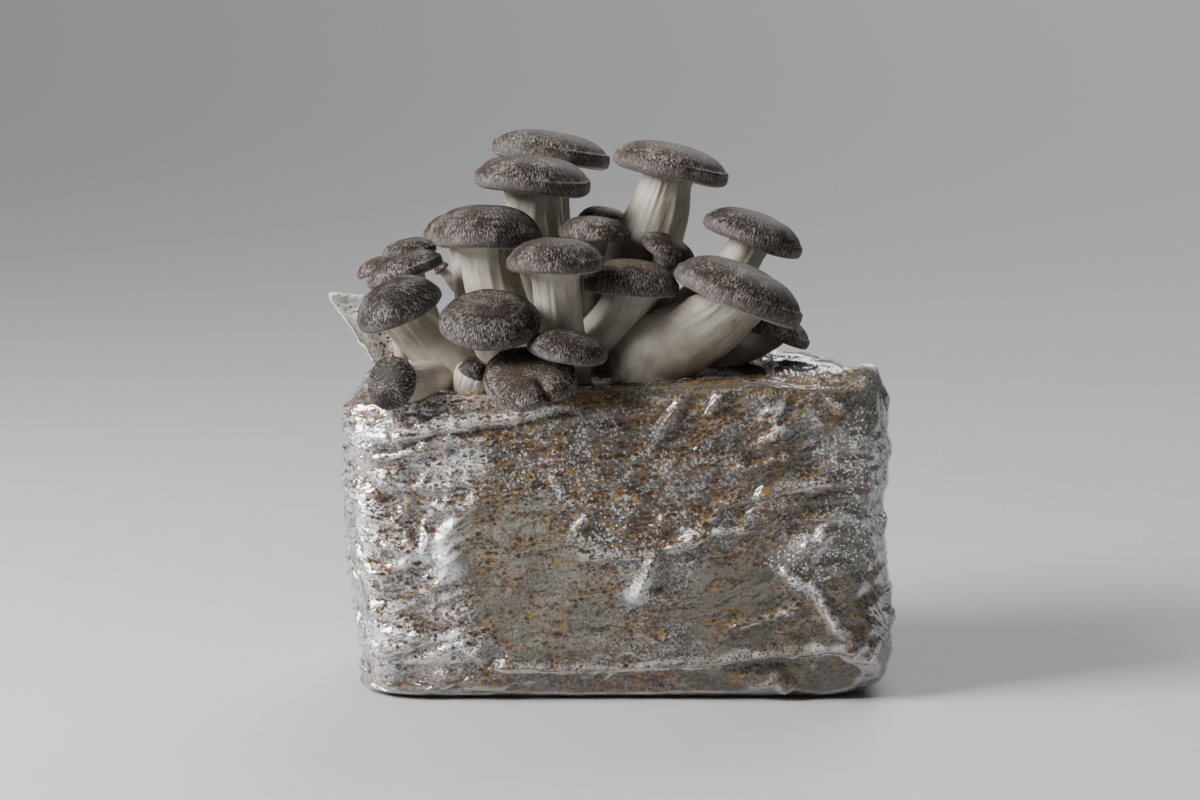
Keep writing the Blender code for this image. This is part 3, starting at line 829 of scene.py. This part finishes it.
# Darker and yellow-brown towards the base.
colour = colour.tint((1 - place.part(2).step(4, 24)) * 0.72, (0.066, 0.047, 0.018, 1))
dark_bits = (pick - 0.95 + busy_here * 0.11 + (1 - white_here) * 0.12 - calm_here * 0.16 - wet_here * 0.12
             + white_here * 0.11).step(-0.02, 0.02)
colour = colour.tint(dark_bits * 0.92, shade((white_here + crest).at_most(1), (0.016, 0.012, 0.009), (0.080, 0.040, 0.008)))
brown_bits = (crowd * 0.30 + 0.03 - pick).step(-0.02, 0.02)
colour = colour.tint(brown_bits * 0.9, shade(hue, (0.024, 0.009, 0.0), (0.215, 0.108, 0.003)))
colour = crumbs(0.25, 0.41, 1.05, (0.250, 0.125, 0.004), (0.045, 0.016, 0.0), colour)
colour = crumbs(0.50, 0.50, 1.45, (0.205, 0.098, 0.002), (0.030, 0.011, 0.0), colour)

seep = (stained_here + (ground.moved("MULTIPLY", (0.06, 0.06, 0.35)).grain(1.0, 4, 0.6) - 0.60) * 1.8).step(0.25, 0.9)
colour = colour.tint(seep * 0.65, (0.155, 0.085, 0.014, 1))
colour = colour.tint(wet_here * (1 - crest) * 0.42, (0.072, 0.058, 0.034, 1))
# Painted glints: bright blue-white points on the wet patches stand for light caught by water drops.
colour = colour.tint((light - 0.86).step(0, 0.06) * wet_here * (1 - valley_up) * 0.85, (0.95, 0.97, 1.0, 1))
# More painted shade towards the right end.
colour = colour.tint(right_end_shade * 0.20, (0.020, 0.012, 0.003, 1))
block_shader.inputs["Specular IOR Level"].default_value = 0.1
plug(block_shader, base_color=colour, roughness=0.5,
     normal=relief(creases * (white_here * 0.9 + 1) + pepper * (white_here * 0.35 + 0.15), 1.2, 0.8))

block_mesh = rolled("substrate_block_grown", block_places, block_growth, lid=True)
placed("substrate_block_grown", block_mesh, block_finish, "mycelium", "substrate_block")
print("block:", len(block_mesh.polygons), "faces,", len(block_finish.node_tree.nodes), "nodes in its finish")

# %% [markdown]
# ## The mushrooms
#
# Each mushroom is a cap turned on its own axis and a stem that leaves the block straight up, bends and
# meets the cap square. The table repeats where the solids of each stand. Tone darkens or lightens a cap:
# young caps are nearly black, and the big ones at the right are brown. The tone is partly painted light
# and shade too: caps that stand in shadow are painted nearly black, and some that their neighbours
# shade are painted lighter.

# %% The bunch
# The tone of a cap is partly its own colour and partly painted light and shade: caps that stand in shadow are darker,
# and some that their neighbours shade are lighter.
MUSHROOMS = {
    "back_top": dict(at=(-27, 54, 204.8), radius=24.3, dome=9, faces=(0.14, 0.06, 1), foot=(-18, 29),
                     girth=(8.5, 8, 8.5), tone_and_shade=0.6),
    "upper_middle": dict(at=(-34, 10, 196.7), radius=23.5, dome=10, faces=(0.1, 0, 1), foot=(-24, 12),
                         girth=(11, 10.5, 10.3), tone_and_shade=0.5),
    "upper_right": dict(at=(21.5, 22, 201.7), radius=23.7, dome=9, faces=(0.22, 0, 1), foot=(2, 20),
                        girth=(17, 17.5, 8.4), tone_and_shade=0.8),
    "right_back": dict(at=(54.2, 15, 174.5), radius=20.7, dome=9.3, faces=(0.36, 0, 1), foot=(28, 12),
                       girth=(11, 11, 7), root=((18, 12, 121), (0.1, 0, 1)), tone_and_shade=0.75),
    "right_big": dict(at=(46.9, -27, 155.4), radius=26.4, dome=11.6, faces=(0.42, 0, 1), foot=(9, -27),
                      girth=(18, 15.5, 10), root=((13, -20, 122), (-0.2, 0, 1)), tone_and_shade=0.6),
    "right_low": dict(at=(62, 5, 138.2), radius=16.2, dome=6.8, faces=(0.45, 0, 1), foot=(41, 4),
                      girth=(6.2, 6, 5.5), tone_and_shade=0.95),
    "left_big": dict(at=(-51.5, -16, 177.3), radius=21.7, dome=12, faces=(0, 0, 1), foot=(-40, -12),
                     girth=(13, 11.5, 10), tone_and_shade=0.5),
    "left_behind": dict(at=(-62, 28, 174.6), radius=16.6, dome=8.4, faces=(-0.05, 0, 1), foot=(-58, 17),
                        girth=(6, 5.3, 6), tone_and_shade=0.6),
    "centre": dict(at=(-24.2, -43, 169.3), radius=18.8, dome=9.4, faces=(0, 0, 1), foot=(-19, -25),
                   girth=(9, 8.8, 9), tone_and_shade=0.5),
    "centre_right": dict(at=(5.4, -18, 158), radius=19, dome=9.9, faces=(0.07, 0, 1), foot=(-14, -12),
                         girth=(10.8, 10.8, 9.8), tone_and_shade=0.75),
    "centre_back": dict(at=(-9.2, -3.6, 176.7), radius=14.4, dome=7, faces=(0.07, 0, 1), foot=(-12, 3),
                        girth=(5.5, 4.6, 3.6), tone_and_shade=0.7),
    "centre_far": dict(at=(-5.5, 31, 179.2), radius=10.4, dome=5.4, faces=(0.14, 0, 1), foot=(-7.5, 36),
                       girth=(3, 3, 3.6), tone_and_shade=0.9),
    "right_small": dict(at=(20.3, -1, 169.5), radius=12, dome=5.5, faces=(0.55, -0.2, 1), foot=(19, 6),
                        girth=(5, 4.6, 4.6), tone_and_shade=0.55),
    "front_big": dict(at=(-48.8, -56, 148.1), radius=19.5, dome=9, faces=(0, -0.4, 1), foot=(-43, -33),
                      girth=(7.2, 8, 7.6), tone_and_shade=0.25),
    "front_right": dict(at=(-19.4, -60, 137.6), radius=15.3, dome=7.2, faces=(0.16, -0.1, 1),
                        foot=(-19.8, -41), girth=(4.2, 4, 3.9), seat=(-0.3, 8, 0), tone_and_shade=0.3),
    "front_dented": dict(at=(-33.3, -67.6, 127.4), radius=17.8, dome=5.2, faces=(0.03, -0.65, 1),
                         foot=(-33, -40), girth=(4.4, 3.7, 4), seat=(0, 4.6, 3), dent=(-58, 0.2), tone_and_shade=0.6),
    "left_dark": dict(at=(-85.3, -25, 149.6), radius=17.5, dome=11, faces=(-0.42, -0.18, 1), foot=(-62, -23),
                      girth=(11, 10, 8), tone_and_shade=0.15),
    "left_low": dict(at=(-86.2, -63, 125.4), radius=10.5, dome=5, faces=(-0.45, -0.82, 0.3),
                                          foot=(-69, -38.6), girth=(8.0, 9.0, 6.0), tone_and_shade=0.1),
    "front_button": dict(at=(-54.9, -48.8, 127.6), radius=6.7, dome=5.7, faces=(0.3, -0.4, 1),
                         foot=(-56.6, -43.8), girth=(5.6, 9.2, 5.6), tone_and_shade=0.15),
    "left_far": dict(at=(-85.1, 40, 165.3), radius=11.6, dome=5.8, faces=(-0.21, 0, 1), foot=(-75, 25),
                     girth=(4, 3.8, 4.4), tone_and_shade=0.5),
    "left_tilted": dict(at=(-85, 8, 161.0), radius=15.9, dome=6.6, faces=(-0.36, 0, 1), foot=(-71, 5),
                        girth=(6.5, 6, 6.6), tone_and_shade=0.3),
    "left_edge": dict(at=(-98.3, 30, 159.4), radius=7.9, dome=4.4, faces=(-0.45, 0, 1), foot=(-87, 24),
                      girth=(2.8, 2.6, 3), tone_and_shade=0.8),
    "left_bud": dict(at=(-71, 28, 159.5), radius=3.3, dome=3.2, faces=(-0.84, 0, 1), foot=None,
                     girth=(2.8, 2.2, 1.4), root=((-65.8, 26.5, 153.2), (-0.9, 0, 0.6)), tone_and_shade=1.0),
    "shade_button": dict(at=(-6.4, -45, 125), radius=4.6, dome=4.6, faces=(0, -0.1, 1), foot=(-6.4, -44.6),
                         girth=(3.4, 3.4, 3.6), tone_and_shade=0.2),
}
print("mushrooms:", len(MUSHROOMS))

# %% [markdown]
# ## A cap
#
# A cap is round, so its outline is drawn once, as half a section, and spun round its axis. The outline
# runs from the top of the dome, round the thick rolled margin, and back underneath to the middle. Under
# the cap every second column is drawn down, which makes the gills: thin plates that run from the margin
# to the stem. No cap is quite round, so a slow noise pushes its margin in and out and up and down.

# %% Cap shape
DOME = ((0, 1), (0.22, 0.985), (0.42, 0.93), (0.60, 0.83), (0.74, 0.68), (0.86, 0.48), (0.94, 0.26))
MARGIN = ((0.985, 0.08), (1.0, -0.03), (0.985, -0.11), (0.93, -0.15), (0.84, -0.135), (0.72, -0.10),
          (0.52, -0.05), (0.26, -0.045), (0, -0.045))
BUTTON_MARGIN = ((0.985, 0.12), (1.0, 0), (0.97, -0.08), (0.88, -0.13), (0.6, -0.14), (0, -0.14))
BIG_CAP = 13.0
CAP_COLUMNS, SMALL_CAP_COLUMNS = 144, 96
GILL_DEPTH = 0.035


def cap_outline(radius, dome):
    """Points (distance from the axis, height) from the top of the dome to the middle underneath."""
    button = radius < dome * 1.2
    margin = BUTTON_MARGIN if button else MARGIN
    points = np.array([(out * radius, up * dome) for out, up in DOME]
                      + [(out * radius, up * radius) for out, up in margin])
    mirrored = (points[1] * (-1, 1), points[-2] * (-1, 1))
    line = np.array([mirrored[0], *points, mirrored[1]])
    made = []
    for a, b, c, d in zip(line, line[1:], line[2:], line[3:]):
        for t in (0, 1 / 3, 2 / 3):
            made.append(0.5 * (2 * b + (c - a) * t + (2 * a - 5 * b + 4 * c - d) * t ** 2
                               + (3 * b - a - 3 * c + d) * t ** 3))
    made[0] = points[0]
    return made + [points[-1]]


def spun(outline, columns):
    """The outline turned round the vertical axis, as a closed shape."""
    shape = bmesh.new()
    verts = [shape.verts.new((out, 0, up)) for out, up in outline]
    edges = [shape.edges.new(pair) for pair in zip(verts, verts[1:])]
    bmesh.ops.spin(shape, geom=verts + edges, cent=(0, 0, 0), axis=(0, 0, 1), angle=math.tau,
                   steps=columns, use_merge=True)
    bmesh.ops.remove_doubles(shape, verts=shape.verts, dist=1e-4)
    bmesh.ops.recalc_face_normals(shape, faces=shape.faces)
    return shape


def grow_cap(name, seed, at, radius, dome, faces, tone_and_shade, dent=None, **stem_facts):
    outline = cap_outline(radius, dome)
    along = np.concatenate(([0], np.cumsum(np.linalg.norm(np.diff(outline, axis=0), axis=1))))
    rim = int(np.argmax([out for out, up in outline]))
    columns = CAP_COLUMNS if radius > BIG_CAP else SMALL_CAP_COLUMNS
    shape = spun(outline, columns)
    place_layer = shape.verts.layers.float_vector.new("cap_place")
    kind_layer = shape.verts.layers.float_vector.new("cap_kind")
    ups = np.array([(out, up) for out, up in outline])
    for vert in shape.verts:
        reach = math.hypot(vert.co.x, vert.co.y)
        share = reach / radius
        ring = int(np.argmin(np.hypot(ups[:, 0] - reach, ups[:, 1] - vert.co.z)))
        turn = math.atan2(vert.co.y, vert.co.x)
        way = Vector((math.cos(turn), math.sin(turn), 0))
        below = ring > rim + 4
        vert[place_layer] = (way.x * along[ring], way.y * along[ring], along[ring] / along[rim])
        vert[kind_layer] = (tone_and_shade, seed, radius)
        if below:
            column = round(turn / math.tau * columns)
            gill = rise(share, 0.16, 0.34) * rise(0.95 - share, 0, 0.10)
            vert.co.z += radius * GILL_DEPTH * float(gill) * (1 if column % 2 else -1)
        wobble = noise.noise(way * 1.1 + Vector((0, 0, seed)))
        ripple = noise.noise(way * 3.1 + Vector((0, seed, 5)))
        dimple = noise.noise(Vector((vert.co.x, vert.co.y, seed * 9)) / (radius * 0.45))
        vert.co += way * reach * (0.05 * wobble + 0.022 * ripple) * float(rise(share, 0.2, 0.9))
        vert.co.z += radius * (0.05 * wobble * share ** 2 + 0.03 * dimple * (1 - share))
        if dent:
            toward = Vector((math.cos(math.radians(dent[0])), math.sin(math.radians(dent[0])), 0))
            facing = max(way.dot(toward), 0) ** 7
            vert.co -= way * reach * dent[1] * 1.25 * facing * share
            crease = math.exp(-((way.cross(toward).z * reach) / 2.4) ** 2) * max(way.dot(toward), 0)
            vert.co.z -= 2.6 * crease * float(rise(share, 0.1, 0.6)) * (1 if vert.co.z > -1 else 0)
    turned = Vector((0, 0, 1)).rotation_difference(Vector(faces)).to_matrix().to_4x4()
    bmesh.ops.transform(shape, matrix=turned, verts=shape.verts)
    bmesh.ops.translate(shape, vec=at, verts=shape.verts)
    bmesh.ops.scale(shape, vec=(MM, MM, MM), verts=shape.verts)
    mesh = bpy.data.meshes.new("cap_" + name)
    shape.to_mesh(mesh)
    shape.free()
    mesh.shade_smooth()
    return mesh


print("outline points of a cap:", len(cap_outline(20, 9)))

# %% [markdown]
# ## Cap skin
#
# The skin is dark grey-brown, and it splits as the cap spreads. Through the splits shows pale flesh, as
# fine streaks that all run out from the middle. They are short and few near the top, and crowd together
# at the margin until it is grey. A noise that is fed with the direction from the middle changes quickly
# round the cap and slowly outwards, so its lumps are drawn out into just such streaks. The place on the
# cap and the cap's tone, which is partly painted light and shade, were stored on the mesh, so that one
# material serves every cap. Underneath, it turns to the cream of the gills.

# %% Cap finish
cap_finish, cap_shader, start = blank_finish("cap_skin")
on_cap = start.node("Attribute", {"attribute_name": "cap_place"}, {}, 1)
of_cap = start.node("Attribute", {"attribute_name": "cap_kind"}, {}, 1)
share_out, tone_and_shade_here, seed_here, radius_here = on_cap.part(2), of_cap.part(0), of_cap.part(1), of_cap.part(2)
under = share_out.step(1.07, 1.13)
level_place = on_cap.moved("MULTIPLY", (1, 1, 0))
reach = level_place.node("VectorMath", {"operation": "LENGTH"}, {0: level_place}, "Value")
swirl = level_place.node("VectorMath", {"operation": "MULTIPLY_ADD"},
                         {0: level_place.grain(0.22, 2, out=1), 1: (2.2, 2.2, 0), 2: level_place})
way_out = swirl.node("VectorMath", {"operation": "NORMALIZE"}, {0: swirl})


def streaks(around, outwards, detail=2.0):
    """Noise drawn out from the middle: lumps across a radius round the cap, and for each mm outwards."""
    depth = start.node("CombineXYZ", {}, {"Z": reach * outwards + seed_here * 7})
    turned_to = way_out.node("VectorMath", {"operation": "SCALE"}, {0: way_out, "Scale": radius_here * around})
    return turned_to.moved("ADD", depth).grain(1.0, detail, 0.55)


near_middle = 1 - reach.step(2, 9)
speckle = swirl.moved("ADD", start.node("CombineXYZ", {}, {"Z": seed_here * 5})).grain(1.7, 3, 0.65)
fibres = streaks(3.2, 0.7) * (1 - near_middle) + speckle * near_middle
flecks = streaks(3.6, 0.60, 1.5) * (1 - near_middle) + (speckle + 0.01) * near_middle
elsewhere = start.node("CombineXYZ", {}, {"Z": seed_here * 30})
clouds = level_place.node("VectorMath", {}, {0: level_place, 1: elsewhere}).grain(0.12, 2)
# The tone sets how dark the skin is: partly the cap's own colour, partly painted light and shade.
skin_colour = shade(tone_and_shade_here, (0.006, 0.0036, 0.0025), (0.027, 0.0165, 0.011))
pale_skin = shade(tone_and_shade_here, (0.022, 0.015, 0.012), (0.080, 0.055, 0.043))
skin_colour = skin_colour.tint((fibres - 0.46).step(0, 0.14) * 0.85, pale_skin)
margin = share_out.step(0.65, 0.95)
fleck_share = (flecks + (clouds - 0.5) * 0.36 + margin * 0.02 - 0.56).step(0, 0.07) * (tone_and_shade_here * 0.5 + 0.48)
skin_colour = skin_colour.tint(fleck_share, (0.42, 0.375, 0.345, 1))
tan = (1 - share_out.step(0.15, 0.75)) * (tone_and_shade_here - 0.45).step(0, 0.3)
skin_colour = skin_colour.tint(tan * (fibres - 0.40).step(0, 0.2) * 0.6, (0.21, 0.15, 0.09, 1))
bloom = (share_out + (fibres - 0.5) * 0.25 + (flecks - 0.5) * 0.4).step(0.86, 1.02)
skin_colour = skin_colour.tint(bloom * 0.5, (0.145, 0.127, 0.118, 1))
gill_lines = streaks(1.4, 0.04)
gill_colour = shade(gill_lines, (0.34, 0.29, 0.24), (0.52, 0.475, 0.42))
plug(cap_shader,
     base_color=skin_colour.node("Mix", {"data_type": "RGBA"}, {0: under, 6: skin_colour, 7: gill_colour}, 2),
     roughness=0.58 - fleck_share * 0.08,
     normal=relief(fibres * 0.6 + fleck_share * 0.5, 0.22, 0.7))
cap_shader.inputs["Specular IOR Level"].default_value = 0.22

for seed, (name, facts) in enumerate(MUSHROOMS.items()):
    cap_mesh = grow_cap(name, seed + 1.0, **facts)
    placed("cap_" + name + "_grown", cap_mesh, cap_finish, "cap_skin", "cap_" + name)
print("caps done; the last has", len(cap_mesh.polygons), "faces")

# %% [markdown]
# ## A stem
#
# A stem starts as a small circle on the block that is pushed along its route, ring after ring. It leaves
# the block square, bends with the pull towards the light, and ends square under its cap, so the route is
# one Bezier curve. It swells at the foot, where stems of a bunch run together, and flares at the top,
# where the gills run down on to it as ribs that fade out. Each ring's points move a little by noise, so
# that the stem isn't turned on a lathe.

# %% Stem shape
STEM_REACH = 0.38
STEM_COLUMNS = 96
RING_SPACING = 1.9
SUNK, INTO_CAP = 2.6, 1.2
FLARE, SWELL, RIB, BULGE = 0.28, 0.10, 0.085, 0.055
BLOCK_INSET = 1.3
TOP_NORMAL = Vector((-TOP_RISE / (SLOPE_END - SLOPE_START), 0, 1)).normalized()


def stem_ends(at, radius, dome, faces, foot, seat, root):
    """Where a stem starts and ends, with its direction at each end."""
    axis = Vector(faces).normalized()
    if root:
        low, away = (Vector(part) for part in root)
        away.normalize()
    else:
        low = Vector((*foot, float(top_height(foot[0])))) - TOP_NORMAL * BLOCK_INSET
        away = TOP_NORMAL
    underside = -0.13 if radius < dome * 1.2 else -0.05
    high = Vector(at) + axis * underside * radius + Vector(seat)
    return low - away * SUNK, away, high + axis * INTO_CAP, axis


def grow_stem(name, seed, at, radius, dome, faces, foot, girth, seat=(0, 0, 0), root=None, **cap_facts):
    low, away, high, axis = stem_ends(at, radius, dome, faces, foot, seat, root)
    reach = (high - low).length * STEM_REACH
    a, b, c, d = low, low + away * reach, high - axis * reach, high
    rings = max(round((high - low).length / RING_SPACING), 8)
    flare_from = 1 - min(7 / (high - low).length, 0.5)
    shape = bmesh.new()
    round_layer = shape.verts.layers.float_vector.new("stem_round")
    along_layer = shape.verts.layers.float_vector.new("stem_along")
    made = bmesh.ops.create_circle(shape, cap_ends=True, segments=STEM_COLUMNS, radius=1)
    ring = made["verts"]
    turns = [math.atan2(vert.co.y, vert.co.x) for vert in ring]
    edges = shape.edges[:]
    side, travelled, before = axis.orthogonal(), 0.0, low
    for number in range(rings + 1):
        if number:
            grown = bmesh.ops.extrude_edge_only(shape, edges=edges)["geom"]
            fresh = {item for item in grown if isinstance(item, bmesh.types.BMVert)}
            edges = [item for item in grown if isinstance(item, bmesh.types.BMEdge) and fresh.issuperset(item.verts)]
            ring = [next(edge.other_vert(vert) for edge in vert.link_edges if edge.other_vert(vert) in fresh)
                    for vert in ring]
        t = number / rings
        rest = 1 - t
        middle = a * rest ** 3 + b * 3 * rest ** 2 * t + c * 3 * rest * t ** 2 + d * t ** 3
        heading = ((b - a) * rest ** 2 + (c - b) * 2 * rest * t + (d - c) * t ** 2).normalized()
        side = (side - heading * side.dot(heading)).normalized()
        other = heading.cross(side)
        travelled += (middle - before).length
        before = middle
        wide = girth[0] * rest ** 2 + girth[1] * 2 * t * rest + girth[2] * t ** 2
        wide *= 1 + FLARE * float(rise(t, flare_from, 1)) + SWELL * float(rise(rest, 0.8, 1))
        ribbed = RIB * float(rise(t, 0.45, 0.95))
        for vert, turn in zip(ring, turns):
            way = Vector((math.cos(turn), math.sin(turn), 0))
            bulge = BULGE * noise.noise(way * 0.9 + Vector((0, seed, travelled / 15)))
            ribs = ribbed * noise.noise(way * 7.5 + Vector((seed, 0, travelled / 26)))
            vert.co = middle + (side * way.x + other * way.y) * wide * (1 + bulge + ribs)
            vert[round_layer] = way * wide
            vert[along_layer] = (t, travelled, seed)
    bmesh.ops.contextual_create(shape, geom=edges)
    bmesh.ops.recalc_face_normals(shape, faces=shape.faces)
    bmesh.ops.scale(shape, vec=(MM, MM, MM), verts=shape.verts)
    mesh = bpy.data.meshes.new("stem_" + name)
    shape.to_mesh(mesh)
    shape.free()
    mesh.shade_smooth()
    return mesh


print("stems rise at", tuple(round(part, 3) for part in TOP_NORMAL))

# %% [markdown]
# ## Stem flesh
#
# Oyster stems are cream and silky. Fine lines run up them and grow into ribs under the cap. The foot is
# greyer and yellower, and is felted with the same white growth as the block. Noise that changes quickly
# round the stem and slowly along it draws the lines.

# %% Stem finish
stem_finish, stem_shader, start = blank_finish("stem_flesh")
round_here = start.node("Attribute", {"attribute_name": "stem_round"}, {}, 1)
along_here = start.node("Attribute", {"attribute_name": "stem_along"}, {}, 1)
climb, travel, seed_here = (along_here.part(axis) for axis in range(3))
depth = start.node("CombineXYZ", {}, {"Z": travel * 0.10 + seed_here * 9})
lines = round_here.node("VectorMath", {"operation": "MULTIPLY_ADD"}, {0: round_here, 1: (1.5, 1.5, 0), 2: depth}).grain(1.0, 3, 0.6)
place = millimetres(start)
cloud = place.grain(0.13, 3)
felt = place.grain(1.6, 3, 0.6)
flesh = shade((cloud * 0.75 + lines * 0.32).step(0.3, 0.75), (0.315, 0.272, 0.212), (0.50, 0.465, 0.395))
foot_share = 1 - (climb + (cloud - 0.5) * 0.5).step(0.02, 0.30)
flesh = flesh.tint(foot_share * 0.55, shade(felt, (0.17, 0.148, 0.115), (0.31, 0.29, 0.25)))
hair = (1 - (lines - 0.5).size() * 14).at_most(1).step(0, 1)
flesh = flesh.tint(hair * (climb * 0.22 + 0.03), (0.16, 0.132, 0.105, 1))
# Painted shade: the stems are darker towards the right, where the lamp's light falls off, less so near the caps.
stem_right_shade = place.part(0).step(-40, 50)
flesh = flesh.tint(stem_right_shade * (1 - climb * 0.6) * 0.26, (0.085, 0.075, 0.066, 1))
plug(stem_shader, base_color=flesh, roughness=0.5 + foot_share * 0.2,
     normal=relief(lines * (climb * 0.85 + 0.10) + felt * foot_share * 0.5, 0.35, 0.7))
stem_shader.inputs["Subsurface Weight"].default_value = 0.25
stem_shader.inputs["Subsurface Radius"].default_value = (0.004, 0.0025, 0.0015)
stem_shader.inputs["Subsurface Scale"].default_value = 0.6

for seed, (name, facts) in enumerate(MUSHROOMS.items()):
    stem_mesh = grow_stem(name, seed + 1.0, **facts)
    placed("stem_" + name + "_grown", stem_mesh, stem_finish, "stem_flesh", "stem_" + name)
print("stems done; the last has", len(stem_mesh.polygons), "faces")

# %% [markdown]
# ## The small things
#
# In the shadow between two stems stands a pin, a mushroom at its very first stage: a pale knob on a thin
# stalk. And one flake of bran has fallen on the front edge. Both are only a few millimetres big.

# %% Pin
PIN_OUTLINE = ((0, 1), (0.40, 0.97), (0.78, 0.86), (0.98, 0.70), (1, 0.56), (0.84, 0.44), (0.62, 0.36),
               (0.56, 0.2), (0.64, 0), (0, 0))


def box_of(node):
    """The middle of a solid's foot and its size, in millimetres."""
    low, high = (np.array(corner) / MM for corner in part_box(node))
    return Vector((*((low + high) / 2)[:2], low[2])), Vector(high - low)


pin_foot, pin_size = box_of("pin_shade")
pin_shape = spun([(out * pin_size.x / 2, up * pin_size.z) for out, up in PIN_OUTLINE], 24)
round_layer = pin_shape.verts.layers.float_vector.new("stem_round")
along_layer = pin_shape.verts.layers.float_vector.new("stem_along")
for vert in pin_shape.verts:
    vert[round_layer] = (vert.co.x, vert.co.y, 0)
    vert[along_layer] = (vert.co.z / pin_size.z, vert.co.z, 0)
bmesh.ops.translate(pin_shape, vec=pin_foot, verts=pin_shape.verts)
bmesh.ops.scale(pin_shape, vec=(MM, MM, MM), verts=pin_shape.verts)
pin_mesh = bpy.data.meshes.new("pin_shade")
pin_shape.to_mesh(pin_mesh)
pin_shape.free()
pin_mesh.shade_smooth()
placed("pin_shade_grown", pin_mesh, stem_finish, "stem_flesh", "pin_shade")
print("pin:", round(pin_size.z, 1), "mm high")

# %% Flake
FLAKE_CURL = 0.5

flake_foot, flake_size = box_of("grain_flake")
flake_shape = bmesh.new()
bmesh.ops.create_icosphere(flake_shape, subdivisions=4, radius=0.5)
for vert in flake_shape.verts:
    ridge = noise.noise(vert.co * 3 + Vector((4, 0, 0)))
    vert.co *= 1 + 0.35 * ridge
    vert.co.z = vert.co.z * 0.45 + FLAKE_CURL * (vert.co.x ** 2 + 0.4 * vert.co.y ** 2) * 2
low = Vector(min(vert.co[axis] for vert in flake_shape.verts) for axis in range(3))
high = Vector(max(vert.co[axis] for vert in flake_shape.verts) for axis in range(3))
stretch = [flake_size[axis] * MM / (high - low)[axis] for axis in range(3)]
bmesh.ops.translate(flake_shape, vec=-Vector(((low + high).x / 2, (low + high).y / 2, low.z)), verts=flake_shape.verts)
bmesh.ops.scale(flake_shape, vec=stretch, verts=flake_shape.verts)
bmesh.ops.translate(flake_shape, vec=flake_foot * MM, verts=flake_shape.verts)
flake_mesh = bpy.data.meshes.new("grain_flake")
flake_shape.to_mesh(flake_mesh)
flake_shape.free()
flake_mesh.shade_smooth()
flake_finish, flake_shader, start = blank_finish("grain")
skin_of_grain = millimetres(start).grain(1.4, 3, 0.6)
plug(flake_shader, base_color=shade(skin_of_grain.step(0.35, 0.65), (0.17, 0.085, 0.012), (0.50, 0.33, 0.10)),
     roughness=0.5, normal=relief(skin_of_grain, 0.3, 0.6))
placed("grain_flake_curled", flake_mesh, flake_finish, "grain", "grain_flake")
print("flake:", round(flake_size.x, 1), "mm long")

# %% Finish
print("the kit is dressed")
